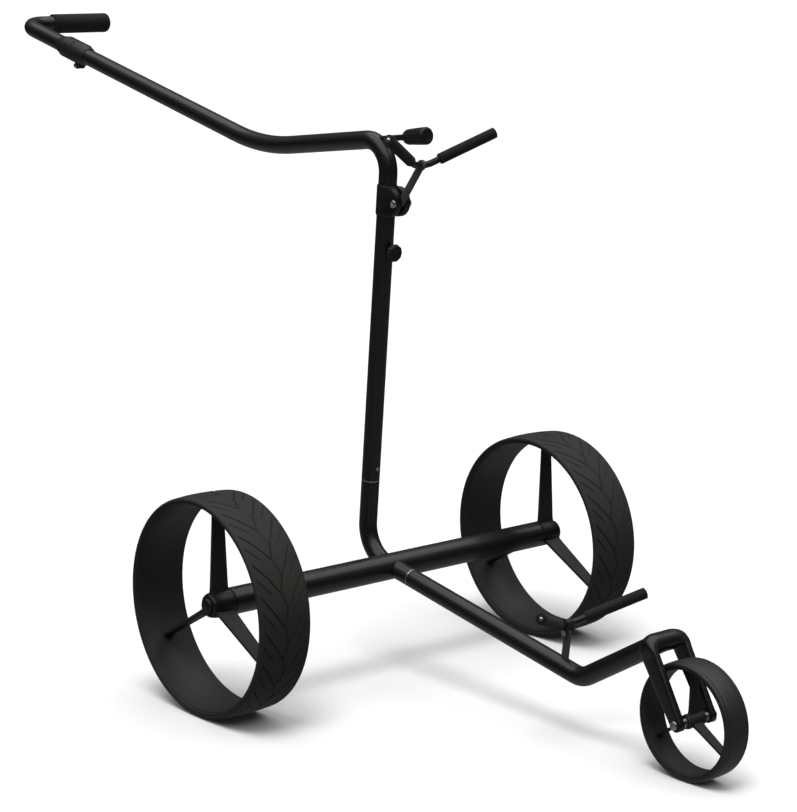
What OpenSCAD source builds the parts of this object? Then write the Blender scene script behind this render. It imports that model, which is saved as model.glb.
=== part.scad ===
// Three-wheel push trolley that carries a golf bag.
// +X is the right-hand side, +Y the way it rolls and +Z is up. The origin is on the ground,
// under the middle of the whole trolley.

/* [Wheels] */
// Outer diameter of the rear wheels
rear_wheel_d = 290; // [240:1:350]
// Width of the rear wheels
rear_wheel_w = 78; // [60:1:96]
// Distance between the middle planes of the rear wheels
track = 577; // [480:1:700]
// Distance from the rear axle to the front axle
wheelbase = 561; // [470:1:680]
// Outer diameter of the front wheel
front_wheel_d = 146; // [122:1:176]
// Width of the front wheel
front_wheel_w = 38; // [30:1:48]
// Thickness of a rear tyre at its middle
tyre_t = 6.5; // [5:0.5:10]
// Thickness of a rim's ring
rim_t = 4.5; // [3:0.5:6]
// Drop of the rear tread from its middle to its shoulders
crown_drop = 2; // [1:0.25:3]
// Width of a rear spoke at the hub
spoke_root_w = 32; // [24:1:34]
// Width of a rear spoke at the rim
spoke_tip_w = 16; // [10:1:24]
// Thickness of the rear spokes
spoke_t = 5; // [3:0.5:8]

/* [Frame] */
// Outer diameter of the frame tubes
tube_d = 25; // [21:0.5:30]
// Wall of the frame tubes
tube_wall = 1.5; // [1:0.25:1.75]
// Outer diameter of the rear axle tube
axle_tube_d = 36; // [32:1:44]
// Wall of the rear axle tube
axle_tube_wall = 2; // [1.5:0.25:3]
// Lean of the mast, forward from upright, in degrees
mast_lean = 5.1; // [0:0.1:10]
// Height of the mast's upper corner over the rear axle
mast_height = 581.5; // [480:0.5:700]
// Distance of the mast's lower corner behind the rear axle
mast_setback = 53.7; // [45:0.1:65]
// Fall of the lower tube towards the front, in degrees
nose_fall = 10.2; // [5:0.1:14]
// Distance of the lower tube's kink behind the front axle
kink_back = 188; // [150:1:226]
// Distance of the handle tube's kink behind the mast's upper corner
shelf_run = 279; // [230:1:335]
// Fall of the shelf stretch towards the rear, in degrees
shelf_fall = 6.1; // [0:0.1:10]
// Distance of the grip's axis behind the handle tube's kink
handle_run = 634; // [520:1:760]
// Rise of the handle tube towards the rear, in degrees
handle_rise = 13.5; // [5:0.1:30]
// Bend radius of the mast's lower corner
lower_bend_r = 48; // [40:1:54]
// Bend radius of the mast's upper corner
upper_bend_r = 40; // [30:1:50]
// Bend radius of the handle tube's kink
handle_bend_r = 380; // [200:5:450]
// Bend radius of the lower tube's kink
kink_bend_r = 35; // [28:1:60]

/* [Plug joints] */
// Distance of the mast's plug joint from its lower corner, along the mast
mast_seam = 103; // [95:1:124]
// Distance of the lower tube's plug joint in front of the rear axle
nose_seam = 43; // [40:1:52]
// Thickness of the bright seam rings
seam_ring_t = 1.6; // [1:0.2:3]
// Depth that a plug reaches into its tube
plug_depth = 42; // [32:1:46]
// Wall of the plugs
plug_wall = 2; // [1.5:0.25:2.5]
// Distance of the mast's snap button from its seam
mast_button_up = 19; // [12:1:30]
// Distance of the lower tube's snap button from its seam
nose_button_back = 11; // [8:1:14]
// Diameter of a snap button
button_d = 5; // [4:0.5:6]
// Height of a snap button over its tube
button_proud = 1; // [0.5:0.25:2]

/* [Handle] */
// Outer diameter of the rubber grip
grip_d = 31; // [28:0.5:37]
// Length of the rubber grip
grip_len = 104; // [86:1:125]
// Distance of the grip's free end from the mid-plane
grip_reach = 155; // [140:1:186]
// Bend radius of the handle's corner
handle_corner_r = 32; // [26:1:36]
// Length of each swivel collar
collar_len = 38; // [30:1:46]
// Outer diameter of the swivel collars
collar_d = 34; // [32:0.5:41]
// Distance of the swivel seam from the grip's axis, along the tube
swivel_back = 154; // [130:1:185]

/* [Upper bag support] */
// Distance of the bracket from the mast's lower corner, along the mast
bracket_up = 492; // [450:1:510]
// Height of the bracket along the mast
bracket_h = 40; // [34:1:48]
// Distance of the support's pivot in front of the mast's axis
pivot_out = 29; // [26:0.5:33]
// Length of the strut from its pivot to the rod
strut_len = 68; // [57:1:80]
// Angle of the strut over the horizontal, in degrees
strut_angle = 52; // [43:1:61]
// Rise of the upper rod's tips over its middle
upper_rise = 59; // [48:1:70]
// Angle of the upper rod's plane over the horizontal, in degrees
upper_plane = 44; // [30:1:60]

/* [Lower bag support] */
// Distance of the lower pivot behind the lower tube's kink
lower_back = 36.5; // [30:0.5:43]
// Height of the lower pivot over the lower tube's axis
lower_up = 47.5; // [41:0.5:56]
// Rise of the lower rod's tips over its middle
lower_rise = 58; // [48:1:68]
// Angle of the lower rod's plane over the horizontal, in degrees
lower_plane = 36; // [20:1:60]

/* [Support arms] */
// Diameter of the bent rods
rod_d = 9; // [7:0.5:11]
// Diameter of the rubber sleeves
sleeve_d = 14.6; // [12:0.1:18]
// Distance of a rod's tips from the mid-plane
arm_reach = 92; // [77:1:110]
// Distance of a sleeve's inner end from the mid-plane
sleeve_start = 24; // [21:1:29]
// Width of the struts
strut_w = 10; // [8:0.5:12]
// Thickness of the struts
strut_t = 5; // [4:0.5:6]

/* [Fork] */
// Angle of the fork, back from upright, in degrees
fork_rake = 32; // [18:0.5:38]
// Gap between the front tyre and the crown tube
fork_gap = 14.3; // [8:0.1:24]
// Gap between the front tyre's side and a leg
leg_gap = 3; // [2:0.25:6]
// Thickness of a fork leg
leg_t = 11; // [8:0.5:14]
// Width of a fork leg at the axle
leg_tip_w = 18; // [15:0.5:22]
// Diameter of the front axle
front_axle_d = 6; // [5:0.5:8]

/* [Knobs] */
// Distance of the mast knob from the mast's lower corner, along the mast
mast_knob_up = 424; // [380:1:435]
// Diameter of the mast knob
mast_knob_d = 24; // [20:1:28]
// Reach of the mast knob in front of the mast
mast_knob_reach = 14; // [12:0.5:20]
// Diameter of the corner knob at its free end
corner_knob_d = 23.5; // [19:0.5:26]
// Length of the corner knob
corner_knob_len = 43; // [36:1:52]
// Distance of the corner knob from the mast's upper corner
corner_knob_out = 33; // [28:1:42]
// Diameter of the corner stud
corner_stud_d = 8; // [6:0.5:10]

/* [Wheel axles] */
// Diameter of the rear wheels' push-in axles
pin_d = 8; // [6:0.5:9]
// Outer diameter of the rear bearings
bearing_d = 22; // [19:0.5:24]
// Width of a rear bearing
bearing_w = 7; // [5:0.5:8]
// Travel of the release buttons
release_travel = 3; // [2:0.25:4]

/* [Fits] */
// Running clearance, on the radius
running = 0.08; // [0.02:0.01:0.1]
// Glue gap between bonded parts, on the radius
glue = 0.05; // [0.02:0.01:0.1]
// Gap between faces that pass or turn against each other
face_gap = 0.4; // [0.3:0.05:0.8]

/* [Hidden] */
$fn = 48;
eps = 1; // how far a cut runs past the solid that it cuts
bend_lap = 0.8; // how far a straight stretch runs into its bend
bend_swell = 0.1; // how much thicker a bend is, on the radius
axle_z = rear_wheel_d / 2;
front_z = front_wheel_d / 2;
tube_r = tube_d / 2;
bore_r = tube_r - tube_wall;
rod_r = rod_d / 2;
sleeve_r = sleeve_d / 2;

// Side view of the frame, as [y, z] from the ground under the rear axle
low_corner = [-mast_setback, axle_z + mast_setback * tan(nose_fall)];
mast_dir = [sin(mast_lean), cos(mast_lean)];
mast_len = (axle_z + mast_height - low_corner[1]) / cos(mast_lean);
top_corner = low_corner + mast_len * mast_dir;
shelf_dir = [-cos(shelf_fall), -sin(shelf_fall)];
handle_kink = top_corner + shelf_run / cos(shelf_fall) * shelf_dir;
handle_dir = [-cos(handle_rise), sin(handle_rise)];
grip_corner = handle_kink + handle_run / cos(handle_rise) * handle_dir;
swivel = grip_corner - swivel_back * handle_dir;
nose_dir = [cos(nose_fall), -sin(nose_fall)];
nose_kink = [0, axle_z] + (wheelbase - kink_back) / cos(nose_fall) * nose_dir;
front_axle_at = [wheelbase, front_z];
fork_len = front_z + fork_gap + tube_r;
crown = front_axle_at + fork_len * [-sin(fork_rake), cos(fork_rake)];
mast_seam_at = low_corner + mast_seam * mast_dir;
nose_seam_at = [0, axle_z] + nose_seam / cos(nose_fall) * nose_dir;

// The origin's distance in front of the rear axle
handle_back = -grip_corner[0] + grip_d / 2;
front_reach = wheelbase + front_z;
centre_y = (front_reach - handle_back) / 2;

// Rear wheel, measured outwards from the mid-plane
wheel_x = track / 2;
tube_end_x = wheel_x - spoke_root_w / 2 - 0.5;
hub_in_x = tube_end_x + face_gap;
hub_r = axle_tube_d / 2;
hub_lip = 3;
hub_nose_r = hub_r - 4.25;
bearing_in_x = hub_in_x + hub_lip;
bearing_out_x = wheel_x + spoke_root_w / 2 - bearing_w - 4;
bearing_end_x = bearing_out_x + bearing_w;
hub_out_x = bearing_end_x + release_travel + 3;
pin_head_r = pin_d / 2 + 2.5;
pin_head_t = 2;
pin_in_x = tube_end_x - 72;
cap_r = bearing_d / 2 + 0.1;
cap_x = bearing_end_x + release_travel + 0.5;
cap_dome = 5;
tyre_in_r = rear_wheel_d / 2 - tyre_t;
rim_in_r = tyre_in_r - glue - rim_t;

// Front wheel
front_tyre_t = 6;
front_rim_t = 3.5;
front_tyre_in_r = front_z - front_tyre_t;
front_rim_in_r = front_tyre_in_r - glue - front_rim_t;
front_hub_r = 8.75;
front_hub_half = front_wheel_w / 2 - 4;
front_bearing_r = 6.5;
front_bearing_w = 5;
leg_in_x = front_wheel_w / 2 + leg_gap;
leg_out_x = leg_in_x + leg_t;

// Supports
pivot_r = 2.5;
bracket_mid_out = pivot_out - 14;
bracket_disc_r = bracket_h / 2;
bracket_half_w = 12.5;
bracket_wall = 1.5;
strut_dir = [cos(strut_angle), sin(strut_angle)];
rod_flat = 11;
arm_bend_r = 24;
lower_eye_r = 5.5;
lower_rod_up = lower_eye_r + face_gap + rod_r + 1.1;
lower_pivot_at = nose_kink - lower_back * nose_dir + lower_up * [sin(nose_fall), cos(nose_fall)];
strut_foot_at = nose_kink - (lower_back - 2) * nose_dir + tube_r * [sin(nose_fall), cos(nose_fall)];

// Unit vector, turned a quarter anticlockwise, and heading of a vector
function unit(v) = v / norm(v);
function left_of(v) = [-v[1], v[0]];
function heading(v) = atan2(v[1], v[0]);
// Signed turn at point i of a path, and the length of the bend's tangents
function turn(p, i) = let (a = unit(p[i] - p[i - 1]), b = unit(p[i + 1] - p[i]))
    atan2(a[0] * b[1] - a[1] * b[0], a * b);
function tangent(p, r, i) = (i == 0 || i == len(p) - 1) ? 0 : r[i] * tan(abs(turn(p, i)) / 2);

// Places a child drawn in the side view, [y, z], where z of the child points to +X
module side_view() {
    translate([0, -centre_y, 0])
        rotate([90, 0, 90])
            children();
}

// Places a child whose +Z runs along direction d of the side view from point p
module along(p, d) {
    translate([0, p[0] - centre_y, p[1]])
        rotate([heading(d) - 90, 0, 0])
            children();
}

// Places a child at height s on the mast, +Z up the mast and +Y to the front
module on_mast(s) {
    along(low_corner + s * mast_dir, mast_dir)
        children();
}

// Places a child on an axle that runs along X through side point p, +Z of the child to +X
module on_axle(p) {
    translate([0, p[0] - centre_y, p[1]])
        rotate([0, 90, 0])
            children();
}

// A round bar along a path in the XY plane: straight stretches joined by bends of radius r[i].
// Each stretch ends a little inside the next bend, whose bar is thicker by bend_swell.
module bent_bar(p, r, radius) {
    for (i = [0 : len(p) - 2]) {
        u = unit(p[i + 1] - p[i]);
        a = p[i] + (tangent(p, r, i) - (i == 0 ? 0 : bend_lap)) * u;
        b = p[i + 1] - (tangent(p, r, i + 1) - (i == len(p) - 2 ? 0 : bend_lap)) * u;
        translate([a[0], a[1], 0])
            rotate([0, 90, heading(u)])
                cylinder(r = radius, h = norm(b - a));
    }
    for (i = [1 : 1 : len(p) - 2]) {
        side = sign(turn(p, i));
        u_in = unit(p[i] - p[i - 1]);
        u_out = unit(p[i + 1] - p[i]);
        centre = p[i] - tangent(p, r, i) * u_in + side * r[i] * left_of(u_in);
        from = side > 0 ? -left_of(u_in) : left_of(u_out);
        translate([centre[0], centre[1], 0])
            rotate([0, 0, heading(from)])
                rotate_extrude(angle = abs(turn(p, i)))
                    translate([r[i], 0])
                        circle(r = radius + bend_swell);
    }
}

// The same path with both ends made longer, for a bore that runs out of its tube
function longer(p) = let (n = len(p) - 1)
    [for (i = [0 : n]) i == 0 ? p[0] - eps * unit(p[1] - p[0])
        : i == n ? p[n] + eps * unit(p[n] - p[n - 1]) : p[i]];

// A bent tube of the frame
module bent_tube(p, r) {
    difference() {
        bent_bar(p, r, tube_r);
        bent_bar(longer(p), r, bore_r);
    }
}

// A ring about Z between two radii
module ring(outer, inner, h) {
    difference() {
        cylinder(r = outer, h = h);
        translate([0, 0, -eps])
            cylinder(r = inner, h = h + 2 * eps);
    }
}

// ---- Chassis: axle tube, centre bend and their inserts ----

centre_path = [mast_seam_at, low_corner, nose_seam_at];
centre_radii = [0, lower_bend_r, 0];

module axle_tube() {
    color("#26262a")
        difference() {
            on_axle([0, axle_z])
                translate([0, 0, -tube_end_x])
                    ring(hub_r, hub_r - axle_tube_wall, 2 * tube_end_x);
            side_view()
                bent_bar(centre_path, centre_radii, tube_r + glue);
        }
}

module centre_bend() {
    color("#1c1c20")
        difference() {
            side_view()
                bent_tube(centre_path, centre_radii);
            along(nose_seam_at - nose_button_back * nose_dir, nose_dir)
                button_hole(1);
        }
}

// A hole for a snap button, through the wall of a tube on its side towards local +Y or -Y
module button_hole(way) {
    rotate([-90 * way, 0, 0])
        cylinder(d = button_d + 2 * running + 0.4, h = tube_r + eps);
}

// The seat that takes one push-in axle; side is 1 on the right and -1 on the left
module axle_insert(side) {
    color("#9a9a9e")
        on_axle([0, axle_z])
            mirror([0, 0, side < 0 ? 1 : 0])
                translate([0, 0, pin_in_x - 2])
                    ring(hub_r - axle_tube_wall - glue, pin_d / 2 + running, tube_end_x - pin_in_x + 2);
}

module axle_insert_right() axle_insert(1);
module axle_insert_left() axle_insert(-1);

// A plug with its seam ring: +Z points into the tube that it joins, and the tail is glued in.
// The gap between the ring and the tube that pulls off is face_gap.
module tube_plug(tail, button_at, way) {
    difference() {
        union() {
            cylinder(r = tube_r, h = seam_ring_t);
            cylinder(r = bore_r - running, h = plug_depth);
            translate([0, 0, -tail])
                cylinder(r = bore_r - glue, h = tail + seam_ring_t / 2);
        }
        translate([0, 0, -tail - eps])
            cylinder(r = bore_r - plug_wall, h = tail + plug_depth + 2 * eps);
        translate([0, 0, button_at])
            button_hole(way);
    }
}

// A snap button on its folded leaf spring: the button points to local +Y
module snap_clip(way) {
    clip_r = bore_r - plug_wall - glue;
    leaf_t = 0.8;
    leaf_w = 5;
    leaf_len = 24;
    mirror([0, way < 0 ? 1 : 0, 0]) {
        rotate([-90, 0, 0])
            translate([0, 0, clip_r * 0.72])
                cylinder(d = button_d, h = tube_r + button_proud - clip_r * 0.72);
        translate([-leaf_w / 2, clip_r * 0.72 - leaf_t, -leaf_len])
            cube([leaf_w, leaf_t, leaf_len + button_d / 2]);
        translate([-leaf_w / 2, -clip_r * 0.9, -leaf_len])
            cube([leaf_w, clip_r * 1.62, leaf_t]);
        translate([-leaf_w / 2, -clip_r * 0.9, -leaf_len])
            cube([leaf_w, leaf_t, leaf_len]);
    }
}

module mast_plug() {
    color("#c8c8cc")
        along(mast_seam_at, mast_dir)
            tube_plug(30, mast_button_up, 1);
}

module mast_snap_clip() {
    color("#d8d8dc")
        on_mast(mast_seam + mast_button_up)
            snap_clip(1);
}

// ---- Mast: the long bent tube, its bracket, collar and studs ----

mast_start = mast_seam_at + (seam_ring_t + face_gap) * mast_dir;
swivel_in = swivel - face_gap / 2 * handle_dir;
swivel_out = swivel + face_gap / 2 * handle_dir;
mast_path = [mast_start, top_corner, handle_kink, swivel_in];
mast_radii = [0, upper_bend_r, handle_bend_r, 0];

module mast_tube() {
    color("#1c1c20")
        difference() {
            side_view()
                bent_tube(mast_path, mast_radii);
            on_mast(mast_seam + mast_button_up)
                button_hole(1);
            on_mast(mast_knob_up)
                rotate([-90, 0, 0])
                    cylinder(r = pivot_r + glue, h = tube_r + eps);
            along(top_corner + upper_bend_r * shelf_dir, -shelf_dir)
                cylinder(d = corner_stud_d + 2 * glue, h = upper_bend_r + tube_r);
        }
}

// The plug glued into the mast's end, on which the handle turns
module swivel_plug() {
    depth = 34;
    wall = 3;
    color("#9a9a9e")
        along(swivel_in, handle_dir)
            difference() {
                union() {
                    translate([0, 0, -depth])
                        cylinder(r = bore_r - glue, h = depth);
                    cylinder(r = bore_r - running, h = depth);
                }
                translate([0, 0, -depth - eps])
                    cylinder(r = bore_r - wall, h = 2 * depth + 2 * eps);
            }
}

// A collar with one tapered end: +Z points away from the swivel seam
module collar() {
    taper = 9;
    difference() {
        union() {
            cylinder(d = collar_d, h = collar_len - taper);
            translate([0, 0, collar_len - taper])
                cylinder(d1 = collar_d, d2 = tube_d + 2, h = taper);
        }
        translate([0, 0, -eps])
            cylinder(r = tube_r + glue, h = collar_len + 2 * eps);
    }
}

// The ear under the front collar, split by a slot, that the clamp screw closes. The screw's
// heads lie outside the collar's round body.
ear_half = 7;
ear_from = 6;
ear_len = 18;
ear_slot = 2;
screw_r = 2;
screw_head_r = 3;
screw_out = sqrt(collar_d * collar_d / 4 - ear_half * ear_half) + screw_head_r + face_gap;

module collar_front() {
    color("#2c2c30")
        along(swivel_in, -handle_dir)
            difference() {
                union() {
                    collar();
                    translate([-ear_half, 0, ear_from])
                        cube([2 * ear_half, screw_out + screw_head_r + 1, ear_len]);
                }
                translate([0, 0, -eps])
                    cylinder(r = tube_r + glue, h = collar_len + 2 * eps);
                translate([-ear_slot / 2, tube_r - eps, -eps])
                    cube([ear_slot, collar_d, collar_len + 2 * eps]);
                translate([-ear_half - eps, screw_out, ear_from + ear_len / 2])
                    rotate([0, 90, 0])
                        cylinder(r = screw_r + glue, h = 2 * ear_half + 2 * eps);
            }
}

module collar_screw() {
    color("#b8b8bc")
        along(swivel_in, -handle_dir)
            translate([0, screw_out, ear_from + ear_len / 2])
                rotate([0, 90, 0])
                    bolt(ear_half, screw_head_r, 2.5, screw_r);
}

// Where the upper support turns, in the mast's own directions
pivot_at = low_corner + bracket_up * mast_dir + pivot_out * [cos(mast_lean), -sin(mast_lean)];

module bracket() {
    slot_r = strut_w / 2 + 1;
    color("#242426")
        difference() {
            on_mast(bracket_up) {
                translate([0, 0, -bracket_h / 2])
                    cylinder(r = tube_r + bracket_wall, h = bracket_h);
                translate([-bracket_half_w, bracket_mid_out, 0])
                    rotate([0, 90, 0])
                        cylinder(r = bracket_disc_r, h = 2 * bracket_half_w);
            }
            on_mast(bracket_up) {
                translate([0, 0, -bracket_h / 2 - eps])
                    cylinder(r = tube_r + glue, h = bracket_h + 2 * eps);
                translate([-strut_t / 2 - face_gap, pivot_out - slot_r - 1, -bracket_h])
                    cube([strut_t + 2 * face_gap, 2 * bracket_h, 2 * bracket_h]);
            }
            on_axle(pivot_at)
                translate([0, 0, -bracket_half_w - eps])
                    cylinder(r = pivot_r + glue, h = 2 * bracket_half_w + 2 * eps);
        }
}

module bracket_bolt() {
    color("#cfcfd2")
        on_axle(pivot_at)
            bolt(bracket_half_w, 4.2, 2.6, pivot_r);
}

// A bolt across the mid-plane with a head at each end, over cheeks that reach out to half
module bolt(half, head_r, head_t, r) {
    translate([0, 0, -half])
        cylinder(r = r, h = 2 * half);
    translate([0, 0, half])
        cylinder(r = head_r, h = head_t);
    translate([0, 0, -half - head_t])
        cylinder(r = head_r, h = head_t);
}

module knob_stud() {
    color("#9a9a9e")
        on_mast(mast_knob_up)
            rotate([-90, 0, 0]) {
                translate([0, 0, bore_r - 4])
                    cylinder(r = pivot_r, h = tube_wall + 4 + mast_knob_reach - 3);
                translate([0, 0, bore_r - 4])
                    cylinder(r = pivot_r + 2, h = 3);
            }
}

module mast_knob() {
    color("#202022")
        on_mast(mast_knob_up)
            rotate([-90, 0, 0])
                difference() {
                    union() {
                        translate([0, 0, tube_r + 0.5])
                            cylinder(d1 = mast_knob_d * 0.55, d2 = mast_knob_d * 0.7, h = 5);
                        translate([0, 0, tube_r + 5.5])
                            cylinder(d = mast_knob_d, h = mast_knob_reach - 9);
                        translate([0, 0, tube_r + mast_knob_reach - 3.5])
                            cylinder(d1 = mast_knob_d, d2 = mast_knob_d * 0.72, h = 3.5);
                    }
                    cylinder(r = pivot_r + running, h = tube_r + mast_knob_reach - 2);
                }
}

corner_dir = -shelf_dir;

// The stud starts inside the shelf stretch and leaves through the outside of the bend
module corner_stud() {
    inside = 30;
    color("#3a3a3e")
        along(top_corner - inside * corner_dir, corner_dir)
            cylinder(d = corner_stud_d, h = inside + corner_knob_out + corner_knob_len - 12);
}

module corner_knob() {
    tip = 3;
    body = corner_knob_len - tip;
    color("#1e1e20")
        along(top_corner + corner_knob_out * corner_dir, corner_dir)
            difference() {
                union() {
                    cylinder(d1 = corner_knob_d - 7, d2 = corner_knob_d - 2.5, h = 4);
                    translate([0, 0, 4])
                        cylinder(d1 = corner_knob_d - 2.5, d2 = corner_knob_d, h = body - 4);
                    translate([0, 0, body])
                        cylinder(d1 = corner_knob_d, d2 = corner_knob_d - 5, h = tip);
                }
                translate([0, 0, -eps])
                    cylinder(d = corner_stud_d + 2 * running, h = corner_knob_len - 10 + eps);
            }
}

// ---- Handle: the L-shaped end that turns about the tube ----

handle_arm = grip_reach - 8;

// Places a child in the handle's plane: +X along the tube from the swivel, -Y towards the grip
module handle_plane() {
    translate([0, swivel_out[0] - centre_y, swivel_out[1]])
        rotate([-handle_rise, 0, 0])
            rotate([0, 0, -90])
                children();
}

handle_corner_x = swivel_back - face_gap / 2;
handle_path = [[0, 0], [handle_corner_x, 0], [handle_corner_x, -handle_arm]];

module handle_tube() {
    color("#1c1c20")
        handle_plane()
            bent_tube(handle_path, [0, handle_corner_r, 0]);
}

module collar_rear() {
    color("#2c2c30")
        along(swivel_out, handle_dir)
            collar();
}

module grip() {
    nose = 5;
    color("#161617")
        handle_plane()
            translate([handle_corner_x, -grip_reach, 0])
                rotate([-90, 0, 0])
                    difference() {
                        union() {
                            cylinder(d1 = grip_d - 8, d2 = grip_d, h = nose);
                            translate([0, 0, nose])
                                cylinder(d = grip_d, h = grip_len - nose);
                        }
                        translate([0, 0, grip_reach - handle_arm])
                            cylinder(r = tube_r + glue, h = grip_len);
                    }
}

// ---- Front frame: lower tube, neck, fork and front axle ----

nose_start = nose_seam_at + (seam_ring_t + face_gap) * nose_dir;
nose_path = [nose_start, nose_kink, crown];
nose_radii = [0, kink_bend_r, 0];

module nose_tube() {
    color("#1c1c20")
        difference() {
            side_view()
                bent_tube(nose_path, nose_radii);
            on_axle(crown)
                translate([0, 0, -leg_out_x])
                    cylinder(r = tube_r + glue, h = 2 * leg_out_x);
        }
}

// The ring of the lower plug sits against the nose tube, and the plug reaches back into the bend
module nose_plug() {
    color("#c8c8cc")
        along(nose_start, -nose_dir)
            tube_plug(26, nose_button_back + seam_ring_t + face_gap, -1);
}

module nose_snap_clip() {
    color("#d8d8dc")
        along(nose_seam_at - nose_button_back * nose_dir, -nose_dir)
            snap_clip(-1);
}

module fork_crown() {
    color("#1e1e22")
        on_axle(crown)
            translate([0, 0, -leg_in_x + glue])
                ring(tube_r, bore_r, 2 * (leg_in_x - glue));
}

// A fork leg from the crown to the axle: two round ends joined by their outer tangents
module fork_leg(side) {
    tip_r = leg_tip_w / 2;
    drop = crown - front_axle_at;
    lean = heading(drop) - 90;
    cone = asin((tube_r - tip_r) / norm(drop));
    color("#1e1e22")
        difference() {
            side_view()
                translate([0, 0, side > 0 ? leg_in_x : -leg_out_x])
                    linear_extrude(leg_t) {
                        translate(front_axle_at)
                            circle(r = tip_r);
                        translate(crown)
                            circle(r = tube_r);
                        translate(front_axle_at)
                            rotate(lean)
                                polygon([
                                    tip_r * [cos(cone), -sin(cone)],
                                    [0, norm(drop)] + tube_r * [cos(cone), -sin(cone)],
                                    [0, norm(drop)] + tube_r * [-cos(cone), -sin(cone)],
                                    tip_r * [-cos(cone), -sin(cone)]
                                ]);
                    }
            on_axle(front_axle_at)
                translate([0, 0, -leg_out_x - eps])
                    cylinder(d = front_axle_d + 2 * glue, h = 2 * leg_out_x + 2 * eps);
        }
}

module fork_leg_right() fork_leg(1);
module fork_leg_left() fork_leg(-1);

module front_axle_bolt() {
    color("#d4d4d8")
        on_axle(front_axle_at) {
            translate([0, 0, -leg_out_x - 4])
                cylinder(d = front_axle_d, h = 2 * leg_out_x + 4);
            translate([0, 0, leg_out_x])
                cylinder(d = front_axle_d + 5, h = 3);
        }
}

module front_axle_nut() {
    color("#d4d4d8")
        on_axle(front_axle_at)
            translate([0, 0, -leg_out_x - 3.5])
                ring(front_axle_d / 2 + 2.5, front_axle_d / 2 + glue, 3.5);
}

// The bright collars that keep the hub in the middle of the fork
module hub_collars() {
    gap = leg_in_x - front_hub_half - face_gap;
    color("#d4d4d8")
        on_axle(front_axle_at)
            for (side = [-1, 1])
                translate([0, 0, side > 0 ? front_hub_half + face_gap : -leg_in_x])
                    ring(front_axle_d / 2 + 2.4, front_axle_d / 2 + glue, gap);
}

// ---- Bag supports ----

// Places a child in a rod's own plane: +X across the trolley, +Y up the plane
module rod_plane(p, plane) {
    translate([0, p[0] - centre_y, p[1]])
        rotate([plane, 0, 0])
            children();
}

// The V of a support rod, from its left tip to its right tip
function arm_path(rise) = [[-arm_reach, rise], [-rod_flat, 0], [rod_flat, 0], [arm_reach, rise]];
arm_radii = [0, arm_bend_r, arm_bend_r, 0];

module support_rod(rise) {
    bent_bar(arm_path(rise), arm_radii, rod_r);
}

// Both rubber sleeves of a support rod
module support_sleeves(rise) {
    run = arm_reach - rod_flat;
    climb = atan2(rise, run);
    start = (sleeve_start - rod_flat) / cos(climb);
    length = norm([run, rise]) - start - 1.5;
    for (side = [-1, 1])
        translate([side * rod_flat, 0, 0])
            rotate([0, side * 90, side * climb])
                translate([0, 0, start])
                    ring(sleeve_r, rod_r + glue, length);
}

upper_rod_at = pivot_at + strut_len * strut_dir;

module upper_strut() {
    color("#6a6a6e")
        difference() {
            side_view()
                translate([0, 0, -strut_t / 2])
                    linear_extrude(strut_t) {
                        translate(pivot_at)
                            circle(d = strut_w);
                        translate(pivot_at)
                            rotate(strut_angle)
                                translate([0, -strut_w / 2])
                                    square([strut_len, strut_w]);
                        translate(upper_rod_at)
                            circle(r = rod_r + 2.5);
                    }
            on_axle(pivot_at)
                translate([0, 0, -strut_t])
                    cylinder(r = pivot_r + running, h = 2 * strut_t);
            on_axle(upper_rod_at)
                translate([0, 0, -strut_t])
                    cylinder(r = rod_r + glue, h = 2 * strut_t);
        }
}

module upper_rod() {
    color("#1a1a1c")
        rod_plane(upper_rod_at, upper_plane)
            support_rod(upper_rise);
}

module upper_sleeves() {
    color("#161617")
        rod_plane(upper_rod_at, upper_plane)
            support_sleeves(upper_rise);
}

module lower_strut() {
    rise = lower_pivot_at - strut_foot_at;
    color("#6a6a6e")
        difference() {
            side_view()
                translate([0, 0, -strut_t / 2])
                    linear_extrude(strut_t) {
                        translate(lower_pivot_at)
                            circle(r = lower_eye_r);
                        translate(strut_foot_at)
                            rotate(heading(rise))
                                translate([-5, -strut_w / 2])
                                    square([norm(rise) + 5, strut_w]);
                    }
            side_view()
                bent_bar(nose_path, nose_radii, tube_r + glue);
            on_axle(lower_pivot_at)
                translate([0, 0, -strut_t])
                    cylinder(r = pivot_r + glue, h = 2 * strut_t);
        }
}

hinge_ear_t = 3;
hinge_half = strut_t / 2 + face_gap + hinge_ear_t;

module lower_hinge_pin() {
    color("#cfcfd2")
        on_axle(lower_pivot_at)
            bolt(hinge_half + face_gap, 4, 1.6, pivot_r);
}

lower_rod_at = lower_pivot_at + [0, lower_rod_up];

// Two ears on the pin and a web over the strut's eye, which carries the rod. The slot between
// the ears is straight up to the web, so that the web's corners pass the strut as it folds.
module lower_hinge_block() {
    ear_r = lower_eye_r;
    color("#2a2a2c")
        difference() {
            side_view()
                translate([0, 0, -hinge_half])
                    linear_extrude(2 * hinge_half) {
                        translate(lower_pivot_at)
                            circle(r = ear_r);
                        translate(lower_pivot_at + [-ear_r, 0])
                            square([2 * ear_r, lower_rod_up]);
                        translate(lower_rod_at)
                            circle(r = ear_r + 0.5);
                    }
            on_axle(lower_pivot_at)
                translate([0, 0, -hinge_half - eps])
                    cylinder(r = pivot_r + running, h = 2 * hinge_half + 2 * eps);
            side_view()
                translate([0, 0, -strut_t / 2 - face_gap])
                    linear_extrude(strut_t + 2 * face_gap)
                        translate(lower_pivot_at + [-3 * ear_r, -2 * ear_r])
                            square([6 * ear_r, 3 * ear_r + face_gap]);
            rod_plane(lower_rod_at, lower_plane)
                bent_bar(arm_path(lower_rise), arm_radii, rod_r + glue);
        }
}

module lower_rod() {
    color("#1a1a1c")
        rod_plane(lower_rod_at, lower_plane)
            support_rod(lower_rise);
}

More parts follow.
